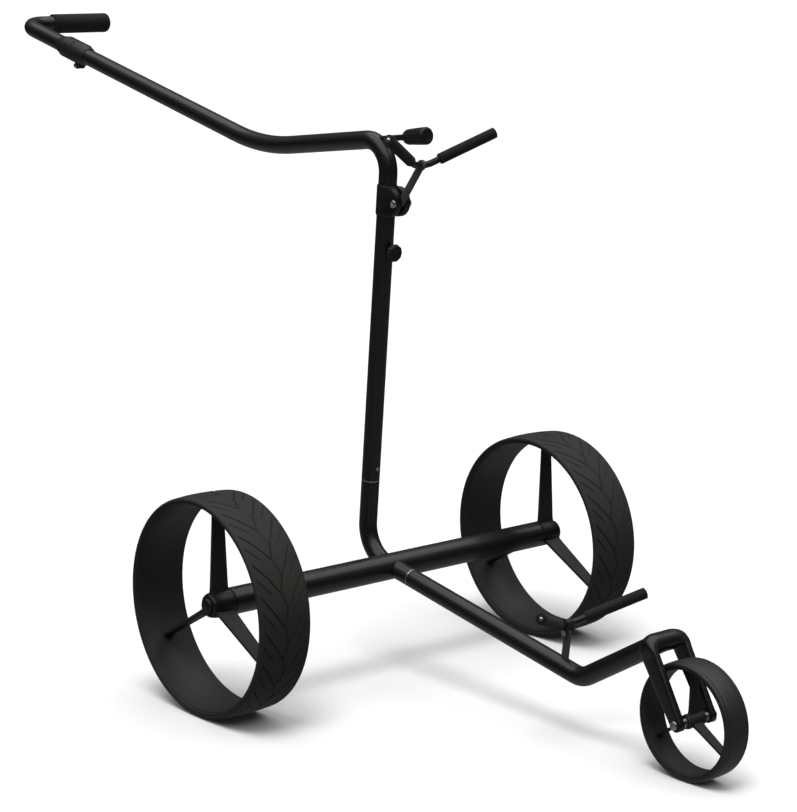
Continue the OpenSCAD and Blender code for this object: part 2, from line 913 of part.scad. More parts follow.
module lower_sleeves() {
    color("#161617")
        rod_plane(lower_rod_at, lower_plane)
            support_sleeves(lower_rise);
}

// ---- Wheels ----

// A tyre about Z: a flat inside and a crowned tread that falls by drop at its edges
module tyre(outer, inner, w, drop) {
    crown_r = (w * w / 4 + drop * drop) / (2 * drop);
    rotate_extrude()
        intersection() {
            translate([inner, -w / 2])
                square([outer - inner, w]);
            translate([outer - crown_r, 0])
                circle(r = crown_r, $fn = 180);
        }
}

// Three flat blades from a hub to a ring, the first one upright; x is the root's and tip's middle
module blades(root_r, tip_r, root_w, tip_w, thick) {
    for (k = [0 : 2])
        rotate([0, 0, 180 + 120 * k])
            rotate([90, 0, 0])
                translate([0, 0, -thick / 2])
                    linear_extrude(thick)
                        polygon([
                            [root_r, -root_w / 2],
                            [tip_r, -tip_w / 2],
                            [tip_r, tip_w / 2],
                            [root_r, root_w / 2]
                        ]);
}

module front_tyre() {
    color("#242422")
        on_axle(front_axle_at)
            tyre(front_z, front_tyre_in_r, front_wheel_w, 1.2);
}

module front_rim() {
    rim_w = front_wheel_w - 2;
    color("#2e2e2c")
        on_axle(front_axle_at)
            difference() {
                union() {
                    translate([0, 0, -rim_w / 2])
                        ring(front_tyre_in_r - glue, front_rim_in_r, rim_w);
                    translate([0, 0, -front_hub_half])
                        cylinder(r = front_hub_r, h = 2 * front_hub_half);
                    blades(front_hub_r - 1, front_rim_in_r + 1, 16, 12, 4);
                }
                translate([0, 0, -front_hub_half - eps])
                    cylinder(r = front_bearing_r + glue, h = 2 * front_hub_half + 2 * eps);
            }
}

module front_bearings() {
    color("#b0b0b4")
        on_axle(front_axle_at)
            for (z = [-front_hub_half, front_hub_half - front_bearing_w])
                translate([0, 0, z])
                    ring(front_bearing_r, front_axle_d / 2 + running, front_bearing_w);
}

// Places a child on the rear axle; side is 1 on the right and -1 on the left, +Z outwards
module rear_side(side) {
    on_axle([0, axle_z])
        mirror([0, 0, side < 0 ? 1 : 0])
            children();
}

module rear_tyre(side) {
    color("#242422")
        rear_side(side)
            translate([0, 0, wheel_x])
                tyre(axle_z, tyre_in_r, rear_wheel_w, crown_drop);
}

module rear_rim(side) {
    rim_w = rear_wheel_w - 2;
    color("#2c2c2a")
        rear_side(side)
            difference() {
                union() {
                    translate([0, 0, wheel_x - rim_w / 2])
                        ring(tyre_in_r - glue, rim_in_r, rim_w);
                    translate([0, 0, wheel_x])
                        blades(hub_r - 4, rim_in_r + 1, spoke_root_w - 5, spoke_tip_w, spoke_t);
                    rotate_extrude()
                        polygon([
                            [0, hub_in_x],
                            [hub_r, hub_in_x],
                            [hub_r, wheel_x + 1],
                            [hub_nose_r, hub_out_x - 3.5],
                            [hub_nose_r - 1.2, hub_out_x],
                            [0, hub_out_x]
                        ]);
                }
                translate([0, 0, hub_in_x - eps])
                    cylinder(r = pin_head_r + face_gap, h = hub_lip + 2 * eps);
                translate([0, 0, bearing_in_x])
                    cylinder(r = bearing_d / 2 + glue, h = bearing_end_x - bearing_in_x + eps);
                translate([0, 0, bearing_end_x])
                    cylinder(r = cap_r + face_gap, h = hub_out_x);
            }
}

module rear_bearings(side) {
    color("#b0b0b4")
        rear_side(side)
            for (z = [bearing_in_x, bearing_out_x])
                translate([0, 0, z])
                    ring(bearing_d / 2, pin_d / 2 + running, bearing_w);
}

module bearing_spacer(side) {
    color("#8a8a8e")
        rear_side(side)
            translate([0, 0, bearing_in_x + bearing_w])
                ring(pin_d / 2 + 2.5, pin_d / 2 + running, bearing_out_x - bearing_in_x - bearing_w);
}

// The push-in axle: a hollow pin with a collar inside the hub and a head outside the bearings
module axle_pin(side) {
    stem_r = pin_d / 4;
    color("#c0c0c4")
        rear_side(side)
            difference() {
                union() {
                    translate([0, 0, pin_in_x])
                        cylinder(d = pin_d, h = bearing_end_x - pin_in_x + face_gap);
                    translate([0, 0, tube_end_x + 0.1])
                        cylinder(r = pin_head_r, h = bearing_in_x - tube_end_x - 0.4);
                    translate([0, 0, bearing_end_x + 0.3])
                        cylinder(r = pin_head_r, h = pin_head_t);
                }
                translate([0, 0, pin_in_x + 20])
                    cylinder(r = stem_r + running, h = hub_out_x);
            }
}

// The domed button in the hub's end, on the rod that frees the axle
module release_cap(side) {
    stem_r = pin_d / 4;
    head_end = bearing_end_x + 0.3 + pin_head_t;
    well = head_end + release_travel + face_gap;
    dome_r = (cap_r * cap_r + cap_dome * cap_dome) / (2 * cap_dome);
    color("#1a1a1c")
        rear_side(side)
            difference() {
                union() {
                    translate([0, 0, cap_x])
                        cylinder(r = cap_r, h = hub_out_x + 0.3 - cap_x);
                    intersection() {
                        translate([0, 0, hub_out_x + 0.3])
                            cylinder(r = cap_r, h = cap_dome + 1);
                        translate([0, 0, hub_out_x + 0.3 + cap_dome - dome_r])
                            sphere(r = dome_r);
                    }
                    translate([0, 0, pin_in_x + 30])
                        cylinder(r = stem_r, h = hub_out_x - pin_in_x - 30);
                }
                translate([0, 0, cap_x - eps])
                    difference() {
                        cylinder(r = pin_head_r + face_gap, h = well - cap_x + eps);
                        cylinder(r = stem_r, h = well);
                    }
            }
}

module axle_pin_right() axle_pin(1);
module axle_pin_left() axle_pin(-1);
module release_cap_right() release_cap(1);
module release_cap_left() release_cap(-1);
module tyre_right() rear_tyre(1);
module tyre_left() rear_tyre(-1);
module rim_right() rear_rim(1);
module rim_left() rear_rim(-1);
module bearings_right() rear_bearings(1);
module bearings_left() rear_bearings(-1);
module bearing_spacer_right() bearing_spacer(1);
module bearing_spacer_left() bearing_spacer(-1);

axle_tube();
centre_bend();
axle_insert_right();
axle_insert_left();
mast_plug();
mast_snap_clip();
mast_tube();
swivel_plug();
collar_front();
collar_screw();
bracket();
bracket_bolt();
knob_stud();
mast_knob();
corner_stud();
corner_knob();
handle_tube();
collar_rear();
grip();
nose_tube();
nose_plug();
nose_snap_clip();
fork_crown();
fork_leg_right();
fork_leg_left();
front_axle_bolt();
front_axle_nut();
hub_collars();
lower_strut();
lower_hinge_pin();
lower_hinge_block();
lower_rod();
lower_sleeves();
upper_strut();
upper_rod();
upper_sleeves();
front_tyre();
front_rim();
front_bearings();
axle_pin_right();
release_cap_right();
tyre_right();
rim_right();
bearings_right();
bearing_spacer_right();
axle_pin_left();
release_cap_left();
tyre_left();
rim_left();
bearings_left();
bearing_spacer_left();
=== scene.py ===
"""Three-wheel golf trolley: the detailed pieces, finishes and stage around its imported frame."""

import math

import bpy
import numpy as np
from bpy.props import FloatProperty, FloatVectorProperty, IntProperty, PointerProperty
from mathutils import Matrix, Vector


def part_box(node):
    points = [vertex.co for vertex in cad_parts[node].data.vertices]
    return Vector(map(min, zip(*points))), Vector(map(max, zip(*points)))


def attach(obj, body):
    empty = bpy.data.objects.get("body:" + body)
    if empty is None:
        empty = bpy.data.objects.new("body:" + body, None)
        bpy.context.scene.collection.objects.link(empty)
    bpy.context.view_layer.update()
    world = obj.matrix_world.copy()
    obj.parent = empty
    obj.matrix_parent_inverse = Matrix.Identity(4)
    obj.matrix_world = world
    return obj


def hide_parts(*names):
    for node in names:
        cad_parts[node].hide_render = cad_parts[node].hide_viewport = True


bl_info = {
    "name": "Golf trolley looks",
    "version": (1, 0, 0),
    "blender": (4, 5, 0),
    "location": "3D View > Sidebar > Trolley",
    "description": "Builds the visible pieces of a three-wheel golf trolley",
    "category": "Object",
}

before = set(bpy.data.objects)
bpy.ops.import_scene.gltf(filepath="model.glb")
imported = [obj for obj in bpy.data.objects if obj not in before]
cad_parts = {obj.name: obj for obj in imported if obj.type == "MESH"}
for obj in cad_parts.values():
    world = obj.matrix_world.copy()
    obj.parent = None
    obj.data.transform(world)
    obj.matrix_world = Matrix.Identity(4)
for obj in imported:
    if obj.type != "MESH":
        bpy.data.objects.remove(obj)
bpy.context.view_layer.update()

MM = 0.001
X_AXIS = np.array([1.0, 0.0, 0.0])


def mm(*values):
    """Lengths given in millimetres, as an array in metres."""
    return np.array(values) * MM


def box_of(node):
    """Lowest and highest corner of a node as arrays."""
    low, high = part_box(node)
    return np.array(low), np.array(high)


def mid_of(node):
    """Middle of a node's box."""
    low, high = box_of(node)
    return (low + high) / 2


AXLE = mid_of("axle_tube")
AXLE[0] = 0.0


def side(y, z):
    """Point of the mid-plane y mm in front of the rear axle and z mm over the ground."""
    return np.array([0.0, AXLE[1] + y * MM, z * MM])


def slope(y, z):
    """Unit direction in the mid-plane."""
    return np.array([0.0, y, z]) / math.hypot(y, z)


# Corners of the frame's own lines in the mid-plane
MAST_UP = slope(math.sin(math.radians(5.1)), math.cos(math.radians(5.1)))
MAST_FRONT = slope(math.cos(math.radians(5.1)), -math.sin(math.radians(5.1)))
NOSE_WAY = slope(math.cos(math.radians(10.2)), -math.sin(math.radians(10.2)))
HANDLE_WAY = slope(-math.cos(math.radians(13.5)), math.sin(math.radians(13.5)))
SHELF_WAY = slope(-math.cos(math.radians(6.1)), -math.sin(math.radians(6.1)))
LOW_CORNER = side(-53.7, 154.662)
TOP_CORNER = side(-2.665, 726.5)
HANDLE_KINK = side(-281.665, 696.684)
GRIP_CORNER = side(-915.665, 848.893)
SWIVEL = GRIP_CORNER - 154 * MM * HANDLE_WAY
NOSE_KINK = side(373, 77.887)
CROWN = mid_of("fork_crown")
FRONT_AXLE = mid_of("front_tyre")
MAST_SEAM = LOW_CORNER + 103 * MM * MAST_UP
NOSE_SEAM = side(43, 137.263)
MAST_KNOB_AT = LOW_CORNER + 424 * MM * MAST_UP
BRACKET_AT = LOW_CORNER + 492 * MM * MAST_UP
CORNER_KNOB_AT = TOP_CORNER - 33 * MM * SHELF_WAY
GAP = 0.4 * MM  # between faces that pull or turn apart

# Radii of the tubes' bends, from the lower corner up to the grip, and of the lower tube's kink
CENTRE_BEND, TOP_BEND, HANDLE_BEND, GRIP_BEND, NOSE_BEND = mm(48, 40, 380, 32, 35)
SEAM_RING = 1.6 * MM  # width of the bright ring at a plug joint
TUBE_STEP = 4 * MM  # between rings of a tube's mesh
NECK_CUT = 2 * MM  # the lower tube ends this far inside the crown
LEG_X, LEG_TIP_R, LEG_HALF_T, FORK_BEND = mm(27.5, 9, 5.5, 14)
BOLT_OUT = 33 * MM  # faces of the front axle's bolt head and nut, from the mid-plane
STRUT_W, STRUT_T, STRUT_FOOT_BACK, STRUT_FOOT_UP = mm(10, 5, 34.5, 10)
UPPER_EYE_R, LOWER_EYE_R = mm(7, 5.5)
COLLAR_R, COLLAR_LEAN, CLAMP_HALF = mm(17, 5, 7)  # CLAMP_HALF is half the clamp ear's width
BRACKET_OUT, CHEEK_OUT = mm(15, 11.9)  # the cheeks' middle and the bolt heads' seats


# ---- Surfaces ----


class Route:
    """A line of straight stretches and round bends, measured by its arc length."""

    def __init__(self, corners, radii=None):
        """Each bend is the arc start + r sin(a) u + r (1 - cos(a)) n, for a up to its turn,
        with u the way in and n the side that it turns to."""
        corners = np.asarray(corners, float)
        radii = np.zeros(len(corners)) if radii is None else np.asarray(radii, float)
        ways = np.diff(corners, axis=0)
        ways /= np.linalg.norm(ways, axis=1)[:, None]
        spots, heads = [corners[0][None]], [ways[0][None]]
        for k in range(1, len(corners) - 1):
            u, v = ways[k - 1], ways[k]
            turn = math.acos(np.clip(u @ v, -1, 1))
            start = corners[k] - radii[k] * math.tan(turn / 2) * u
            n = v - (v @ u) * u
            n /= np.linalg.norm(n)
            a = np.linspace(0, turn, max(3, int(turn / 0.03) + 2))[:, None]
            spots.append(start + radii[k] * (np.sin(a) * u + (1 - np.cos(a)) * n))
            heads.append(np.cos(a) * u + np.sin(a) * n)
        spots.append(corners[-1][None])
        heads.append(ways[-1][None])
        self.spots = np.concatenate(spots)
        self.heads = np.concatenate(heads)
        steps = np.linalg.norm(np.diff(self.spots, axis=0), axis=1)
        self.s = np.concatenate([[0.0], np.cumsum(steps)])
        self.length = float(self.s[-1])

    def at(self, s):
        """Points and headings at arc lengths s, carried on straight past both ends."""
        s = np.asarray(s, float)
        spot = np.stack([np.interp(s, self.s, self.spots[:, k]) for k in range(3)], -1)
        head = np.stack([np.interp(s, self.s, self.heads[:, k]) for k in range(3)], -1)
        head /= np.linalg.norm(head, axis=-1, keepdims=True)
        spot += np.minimum(s, 0)[..., None] * self.heads[0]
        spot += np.maximum(s - self.length, 0)[..., None] * self.heads[-1]
        return spot, head


def angles(count):
    """Equal angles round a section, as one row."""
    return np.linspace(0, 2 * math.pi, count, endpoint=False)[None, :]


def carried(route, s, out, beside, plane):
    """A section carried along a route:
    point = route(s) + out * (plane x heading) + beside * plane."""
    s = np.asarray(s, float).reshape(-1, 1)
    spot, head = route.at(s[:, 0])
    plane = np.asarray(plane, float) / np.linalg.norm(plane)
    normal = np.cross(plane[None], head)
    out = np.broadcast_to(out, (len(s), np.shape(out)[-1]))
    beside = np.broadcast_to(beside, out.shape)
    return spot[:, None] + out[..., None] * normal[:, None] + beside[..., None] * plane


def turned(origin, axis, s, r, count=48, up=None):
    """A surface of revolution: point = origin + s * axis + r * (cos(t) e1 + sin(t) e2).
    s and r are columns, or whole grids where they change with the angle t."""
    axis = np.asarray(axis, float) / np.linalg.norm(axis)
    up = np.array([0.0, 0.0, 1.0]) if up is None else np.asarray(up, float)
    if abs(axis @ up) > 0.99:
        up = np.array([0.0, 1.0, 0.0])
    e1 = up - (up @ axis) * axis
    e1 /= np.linalg.norm(e1)
    e2 = np.cross(axis, e1)
    t = angles(count)
    s = np.asarray(s, float)
    r = np.asarray(r, float)
    s = s.reshape(-1, 1) if s.ndim == 1 else s
    r = r.reshape(-1, 1) if r.ndim == 1 else r
    s, r = np.broadcast_to(s, (max(len(s), len(r)), count)), np.broadcast_to(r, (len(r), count))
    x, y = r * np.cos(t), r * np.sin(t)
    return origin + s[..., None] * axis + x[..., None] * e1 + y[..., None] * e2


def rounded(angle, flat):
    """Cosine and sine of a squared-off circle: sign(c) |c| ** (2 / flat), and the same for s."""
    c, s = np.cos(angle), np.sin(angle)
    return np.sign(c) * np.abs(c) ** (2 / flat), np.sign(s) * np.abs(s) ** (2 / flat)


def smooth(t):
    """3t^2 - 2t^3 on t kept within 0 and 1."""
    t = np.clip(t, 0, 1)
    return t * t * (3 - 2 * t)


def grid_faces(rows, cols, closed, base):
    """Four-cornered faces of a grid that is closed round its columns, and with closed also
    along its rows. Corners are (i, j), (i, j + 1), (i + 1, j + 1), (i + 1, j)."""
    i, j = np.meshgrid(np.arange(rows if closed else rows - 1), np.arange(cols), indexing="ij")
    i, j = i.ravel(), j.ravel()
    i2, j2 = (i + 1) % rows, (j + 1) % cols
    quads = np.stack([i * cols + j, i * cols + j2, i2 * cols + j2, i2 * cols + j], -1) + base
    return quads, i, j


def build(name, grids, finish, body, stands_for=(), crease=35, marks=None):
    """One mesh from closed grids. A grid is (points, closed, uv): points has rows by columns;
    closed grids join last row to first, and others end in a point at the middle of each end
    row. uv gives rows by columns + 1 places for the finish. A grid that is inside out by its
    signed volume is turned round."""
    verts, quads, tris, uv_quads, uv_tris, base = [], [], [], [], [], 0
    has_uv = any(len(g) > 2 and g[2] is not None for g in grids)
    for g in grids:
        points, closed = g[0], g[1]
        uv = g[2] if len(g) > 2 else None
        rows, cols = points.shape[:2]
        q, i, j = grid_faces(rows, cols, closed, base)
        flat = [points.reshape(-1, 3)]
        t = np.zeros((0, 3), int)
        if not closed:
            first, last = rows * cols, rows * cols + 1
            flat += [points[0].mean(0)[None], points[-1].mean(0)[None]]
            k = np.arange(cols)
            k2 = (k + 1) % cols
            end = (rows - 1) * cols
            t = np.concatenate([
                np.stack([np.full(cols, first), k2, k], -1),
                np.stack([np.full(cols, last), end + k, end + k2], -1),
            ]) + base
        co = np.concatenate(flat)
        local_q, local_t = q - base, t - base
        volume = signed_volume(co, local_q, local_t)
        if volume < 0:
            q, t = q[:, ::-1], t[:, ::-1]
        verts.append(co)
        quads.append(q)
        tris.append(t)
        if has_uv:
            if uv is None:
                uv = np.zeros((rows, cols + 1, 2))
            uv_row = np.concatenate([uv, uv[:1]]) if closed else uv
            corner = np.stack([uv_row[i, j], uv_row[i, j + 1], uv_row[i + 1, j + 1],
                               uv_row[i + 1, j]], 1)
            uv_quads.append(corner[:, ::-1] if volume < 0 else corner)
            uv_tris.append(np.zeros((len(t), 3, 2)))
        base += len(co)
    mesh = bpy.data.meshes.new(name)
    faces = np.concatenate(quads).tolist() + np.concatenate(tris).tolist()
    mesh.from_pydata(np.concatenate(verts).tolist(), [], faces)
    if has_uv:
        layer = mesh.uv_layers.new(name="finish")
        flat = np.concatenate([np.concatenate(uv_quads).reshape(-1, 2),
                               np.concatenate(uv_tris).reshape(-1, 2)])
        layer.data.foreach_set("uv", flat.astype(np.float32).ravel())
    # The groove marks darken the tread's colour: painted shade in the grooves
    if marks is not None:
        layer = mesh.attributes.new("groove", "FLOAT", "POINT")
        layer.data.foreach_set("value", marks.astype(np.float32).ravel())
    mesh.update()
    mesh.shade_smooth()
    mesh.set_sharp_from_angle(angle=math.radians(crease))
    mesh.materials.append(finish)
    piece = bpy.data.objects.new(name, mesh)
    bpy.context.scene.collection.objects.link(piece)
    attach(piece, body)
    if stands_for:
        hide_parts(*stands_for)
    return piece


def signed_volume(co, quads, tris):
    """A sixth of the sum of a . (b x c) over the faces' triangles."""
    all_tris = np.concatenate([quads[:, [0, 1, 2]], quads[:, [0, 2, 3]], tris])
    a, b, c = (co[all_tris[:, k]] for k in range(3))
    return float(np.einsum("ij,ij->i", a, np.cross(b, c)).sum() / 6)


# ---- Finishes ----


class Finish:
    """A material whose nodes are made with short calls. Numbers that are the same all over go
    straight on the shader's own sockets."""

    def __init__(self, name, **sockets):
        self.mat = bpy.data.materials.new(name)
        self.mat.use_nodes = True
        self.tree = self.mat.node_tree
        self.shader = self.tree.nodes["Principled BSDF"]
        for socket, value in sockets.items():
            self.shader.inputs[socket.replace("_", " ")].default_value = value

    def node(self, kind, inputs=(), **settings):
        made = self.tree.nodes.new("ShaderNode" + kind)
        for key, value in settings.items():
            setattr(made, key, value)
        for key, value in dict(inputs).items():
            if isinstance(value, bpy.types.NodeSocket):
                self.tree.links.new(value, made.inputs[key])
            else:
                made.inputs[key].default_value = value
        return made

    def math(self, operation, a, b=0.0, clamp=False):
        made = self.node("Math", {0: a, 1: b}, operation=operation, use_clamp=clamp)
        return made.outputs[0]

    def place(self, scale=(1, 1, 1)):
        """Object coordinates, scaled by a Mapping node."""
        coord = self.node("TexCoord").outputs["Object"]
        return self.node("Mapping", {"Vector": coord, "Scale": scale}).outputs[0]

    def noise(self, where, scale, detail=4.0):
        made = self.node("TexNoise", {"Vector": where, "Scale": scale, "Detail": detail,
                                      "Roughness": 0.55})
        return made.outputs["Fac"]

    def ranged(self, value, low, high, top=1.0):
        """Value moved from low..high to 0..top."""
        made = self.node("MapRange", {"Value": value, "From Min": low, "From Max": high,
                                      "To Min": 0.0, "To Max": top})
        return made.outputs[0]

    def patches(self, scale, detail=4.0):
        """Slow noise over the piece, from 0 to 1."""
        return self.ranged(self.noise(self.place(), scale, detail), 0.3, 0.7)

    def times(self, a, b):
        return self.math("MULTIPLY", a, b)

    def tones(self, factor, rgb, low, high):
        """A colour that goes from low to high times rgb."""
        return self.mix(factor, shade(rgb, low), shade(rgb, high))

    def mix(self, factor, a, b):
        made = self.node("Mix", {0: factor, 6: a, 7: b}, data_type="RGBA")
        return made.outputs[2]

    def colour(self, socket):
        self.tree.links.new(socket, self.shader.inputs["Base Color"])

    def roughness(self, low, factor, span):
        """Roughness low + factor * span."""
        value = self.math("ADD", low, self.times(factor, span))
        self.tree.links.new(value, self.shader.inputs["Roughness"])

    def bump(self, height, distance, strength=1.0):
        """The height field, distance metres deep, as a bump."""
        made = self.node("Bump", {"Height": height, "Distance": distance, "Strength": strength})
        self.tree.links.new(made.outputs[0], self.shader.inputs["Normal"])


def shade(rgb, gain=1.0):
    """A colour with its alpha, times gain."""
    return tuple(min(1.0, c * gain) for c in rgb[:3]) + (1.0,)


def carbon_finish(looks):
    """Two-by-two twill under lacquer. The map counts tows: a lengthwise tow lies on top where
    (column + row) mod 4 is below 2, and each tow's height is sin(pi * distance across it). The
    twill pattern is real; its colour is painted sheen, lighter on lengthwise tows and tow crowns."""
    f = Finish("carbon_twill", Coat_Weight=looks.lacquer, Coat_Roughness=0.16,
               Specular_IOR_Level=0.42)
    where = f.node("UVMap", uv_map="finish").outputs[0]
    split = f.node("SeparateXYZ", {0: where})
    u, v = split.outputs[0], split.outputs[1]
    total = f.math("ADD", f.math("FLOOR", u), f.math("FLOOR", v))
    over = f.math("LESS_THAN", f.math("FLOORED_MODULO", total, 4.0), 2.0)
    long_tow = f.math("SINE", f.times(f.math("FRACT", v), math.pi))
    hoop_tow = f.math("SINE", f.times(f.math("FRACT", u), math.pi))
    lift = f.math("ADD", f.times(over, long_tow),
                  f.times(f.math("SUBTRACT", 1.0, over), hoop_tow))
    strands = f.noise(f.node("Mapping", {"Vector": where, "Scale": (0.6, 9.0, 1.0)}).outputs[0],
                      1.0, 2.0)
    patches = f.patches(9.0)
    # Painted sheen: the tone rises on each tow's crown and is higher on lengthwise tows on top,
    # standing in for the fibres' reflection
    tone = f.times(lift, f.math("ADD", 0.35, f.times(over, 0.65)))
    tone = f.times(tone, f.math("ADD", 0.65, f.times(strands, 0.7)))
    tone = f.math("MULTIPLY", tone, f.math("ADD", 0.75, f.times(patches, 0.25)), True)
    f.colour(f.mix(tone, shade(looks.carbon_dark), shade(looks.carbon_sheen)))
    f.roughness(0.30, over, 0.12)
    f.bump(lift, 0.00006, 0.35)
    return f.mat


def tyre_finish(looks):
    """Matt tread rubber: dust-pale lands with a fine grain, and painted shade in the grooves."""
    f = Finish("tread_rubber", Specular_IOR_Level=0.30)
    groove = f.node("Attribute", attribute_name="groove").outputs["Fac"]
    where = f.place()
    dust = f.patches(14.0, 5.0)
    grain = f.noise(where, 900.0, 3.0)
    land = f.tones(dust, looks.tyre, 0.85, 1.2)
    # Painted shade: the grooves get half the rubber's colour, standing in for the shade inside them
    f.colour(f.mix(groove, land, shade(looks.tyre, 0.5)))
    f.roughness(0.62, dust, 0.16)
    f.bump(grain, 0.00012, 0.5)
    return f.mat


def slick_finish(looks):
    """The front tyre's smoother rubber, a little glossy, with faint turning lines."""
    f = Finish("slick_rubber", Specular_IOR_Level=0.45)
    dust = f.patches(22.0, 5.0)
    lines = f.noise(f.place(scale=(60.0, 0.4, 0.4)), 24.0, 2.0)
    f.colour(f.tones(dust, looks.tyre, 0.75, 1.1))
    f.roughness(0.36, dust, 0.14)
    f.bump(lines, 0.00008, 0.5)
    return f.mat


def plastic_finish(name, rgb, low, high, grain=700.0, depth=0.00008, level=0.4):
    """Moulded plastic: a fine spark-eroded grain, slow changes of tone and roughness, and a painted
    highlight that makes sharp edges paler."""
    f = Finish(name, Specular_IOR_Level=level)
    where = f.place()
    slow = f.patches(18.0)
    fine = f.noise(where, grain, 3.0)
    edge_pointiness = f.node("NewGeometry").outputs["Pointiness"]
    edge = f.ranged(edge_pointiness, 0.52, 0.60, 0.5)
    body = f.tones(slow, rgb, 0.86, 1.14)
    # Painted highlight: sharp edges get almost twice the plastic's colour
    f.colour(f.mix(edge, body, shade(rgb, 1.9)))
    f.roughness(low, slow, high - low)
    f.bump(fine, depth, 0.45)
    return f.mat


def rubber_finish(looks):
    """Soft sleeve rubber: pebbled surface with a slow sheen."""
    f = Finish("sleeve_rubber", Specular_IOR_Level=0.28, Sheen_Weight=0.06)
    where = f.place()
    cells = f.node("TexVoronoi", {"Vector": where, "Scale": 620.0}).outputs["Distance"]
    slow = f.patches(26.0)
    f.colour(f.tones(slow, looks.rubber, 0.85, 1.2))
    f.roughness(0.66, slow, 0.14)
    f.bump(cells, 0.0002, 0.35)
    return f.mat


def paint_finish(name, rgb, rough, depth=0.00005, speck=0.25):
    """Powder coat: orange peel from a cell pattern, and small pale specks."""
    f = Finish(name, Specular_IOR_Level=0.45)
    where = f.place()
    peel = f.noise(where, 420.0, 2.0)
    specks = f.ranged(f.noise(where, 1500.0, 1.0), 0.62, 0.72, speck)
    slow = f.patches(20.0)
    body = f.tones(slow, rgb, 0.88, 1.12)
    f.colour(f.mix(specks, body, shade(rgb, 2.4)))
    f.roughness(rough, slow, 0.12)
    f.bump(peel, depth, 0.5)
    return f.mat


def metal_finish(name, rgb, rough, stretch=(90.0, 90.0, 90.0), depth=0.00002):
    """Bare metal: brushing from noise stretched across the piece, and duller patches."""
    f = Finish(name, Metallic=1.0)
    brushed = f.noise(f.place(scale=stretch), 8.0, 3.0)
    slow = f.patches(60.0)
    f.colour(f.tones(f.ranged(brushed, 0.3, 0.7), rgb, 0.8, 1.05))
    f.roughness(rough, slow, 0.15)
    f.bump(brushed, depth, 0.4)
    return f.mat


FINISHES = {}


def finish(name):
    """The material of that name, made at its first use from the scene's colours."""
    if name not in FINISHES:
        looks = bpy.context.scene.trolley_looks
        makers = {
            "carbon": lambda: carbon_finish(looks),
            "tread": lambda: tyre_finish(looks),
            "slick": lambda: slick_finish(looks),
            "rim": lambda: plastic_finish("rim_plastic", looks.rim, 0.46, 0.62),
            "hub": lambda: plastic_finish("hub_plastic", looks.plastic, 0.30, 0.42),
            "moulded": lambda: plastic_finish("moulded_plastic", looks.plastic, 0.34, 0.5),
            "collar": lambda: plastic_finish("collar_plastic", looks.collar, 0.32, 0.46),
            "rubber": lambda: rubber_finish(looks),
            "rod": lambda: paint_finish("rod_paint", looks.plastic, 0.28),
            "strut": lambda: paint_finish("strut_paint", looks.strut, 0.38, speck=0.4),
            "alloy": lambda: metal_finish("ring_alloy", looks.alloy, 0.24, (20.0, 160.0, 160.0)),
            "steel": lambda: metal_finish("bolt_steel", looks.steel, 0.18),
            "dull_steel": lambda: metal_finish("inner_steel", looks.steel, 0.34),
        }
        FINISHES[name] = makers[name]()
    return FINISHES[name]


# ---- Sizes and colours ----


def length(name, text, value):
    """A size in metres that shows in the panel, from millimetres."""
    return FloatProperty(name=name, description=text, default=value * MM, min=0.0,
                         unit="LENGTH", subtype="DISTANCE", precision=4)


def tint(name, text, rgb):
    """A colour that shows in the panel."""
    return FloatVectorProperty(name=name, description=text, default=rgb, min=0.0, max=1.0,
                               size=3, subtype="COLOR")


class TrolleySizes(bpy.types.PropertyGroup):
    """Sizes of the trolley's pieces."""

    tube_d: length("Tube", "Outer diameter of the frame tubes", 25)
    tube_wall: length("Tube wall", "Wall of the frame tubes", 1.5)
    tow: length("Tow", "Width of one carbon tow", 2.0)
    tread_depth: length("Tread depth", "Depth of the rear tread's grooves", 1.0)
    tread_count: IntProperty(name="Tread repeats", description="Chevrons round a rear tyre",
                             default=21, min=8, max=60)
    sleeve_d: length("Sleeve", "Outer diameter of the rubber sleeves", 14.6)
    rod_d: length("Rod", "Diameter of the bent rods", 9)
    spoke_t: length("Spoke", "Thickness of a rear spoke", 5)
    grip_d: length("Grip", "Outer diameter of the rubber grip", 31)


class TrolleyLooks(bpy.types.PropertyGroup):
    """Colours and gloss of the trolley's finishes."""

    # The light carbon colour is a painted sheen on the lengthwise tows, not their own colour
    carbon_dark: tint("Carbon, dark", "Hoop tows", (0.0030, 0.0030, 0.0040))
    carbon_sheen: tint("Carbon, light", "Lengthwise tows", (0.013, 0.013, 0.017))
    lacquer: FloatProperty(name="Lacquer", description="Share of clear coat on the carbon",
                           default=0.35, min=0.0, max=1.0)
    tyre: tint("Tyres", "Tread rubber", (0.024, 0.024, 0.022))
    rim: tint("Rims", "Rim plastic", (0.018, 0.018, 0.017))
    plastic: tint("Plastic", "Hubs, knobs and bracket", (0.007, 0.007, 0.0075))
    collar: tint("Collars", "Swivel collars", (0.013, 0.013, 0.0135))
    rubber: tint("Rubber", "Grip and sleeves", (0.008, 0.008, 0.0085))
    strut: tint("Struts", "Grey struts", (0.065, 0.065, 0.067))
    alloy: tint("Alloy", "Seam rings", (0.62, 0.62, 0.63))
    steel: tint("Steel", "Bolts and pins", (0.60, 0.60, 0.61))


class TrolleyStage(bpy.types.PropertyGroup):
    """Light and floor of the studio."""

    floor: tint("Floor", "Colour of the floor", (0.86, 0.86, 0.86))
    dome: FloatProperty(name="Soft light", description="Broad light from above",
                        default=2.3, min=0.0)
    key: FloatProperty(name="Key light", description="Narrower light from above",
                       default=1.5, min=0.0)
    fill: FloatProperty(name="Fill", description="Light from the room", default=0.35, min=0.0)


# ---- Pieces ----


class Maker:
    """What the trolley's operators share"""

    bl_options = {"REGISTER", "UNDO"}

    def execute(self, context):
        self.make(context.scene.trolley_sizes)
        return {"FINISHED"}


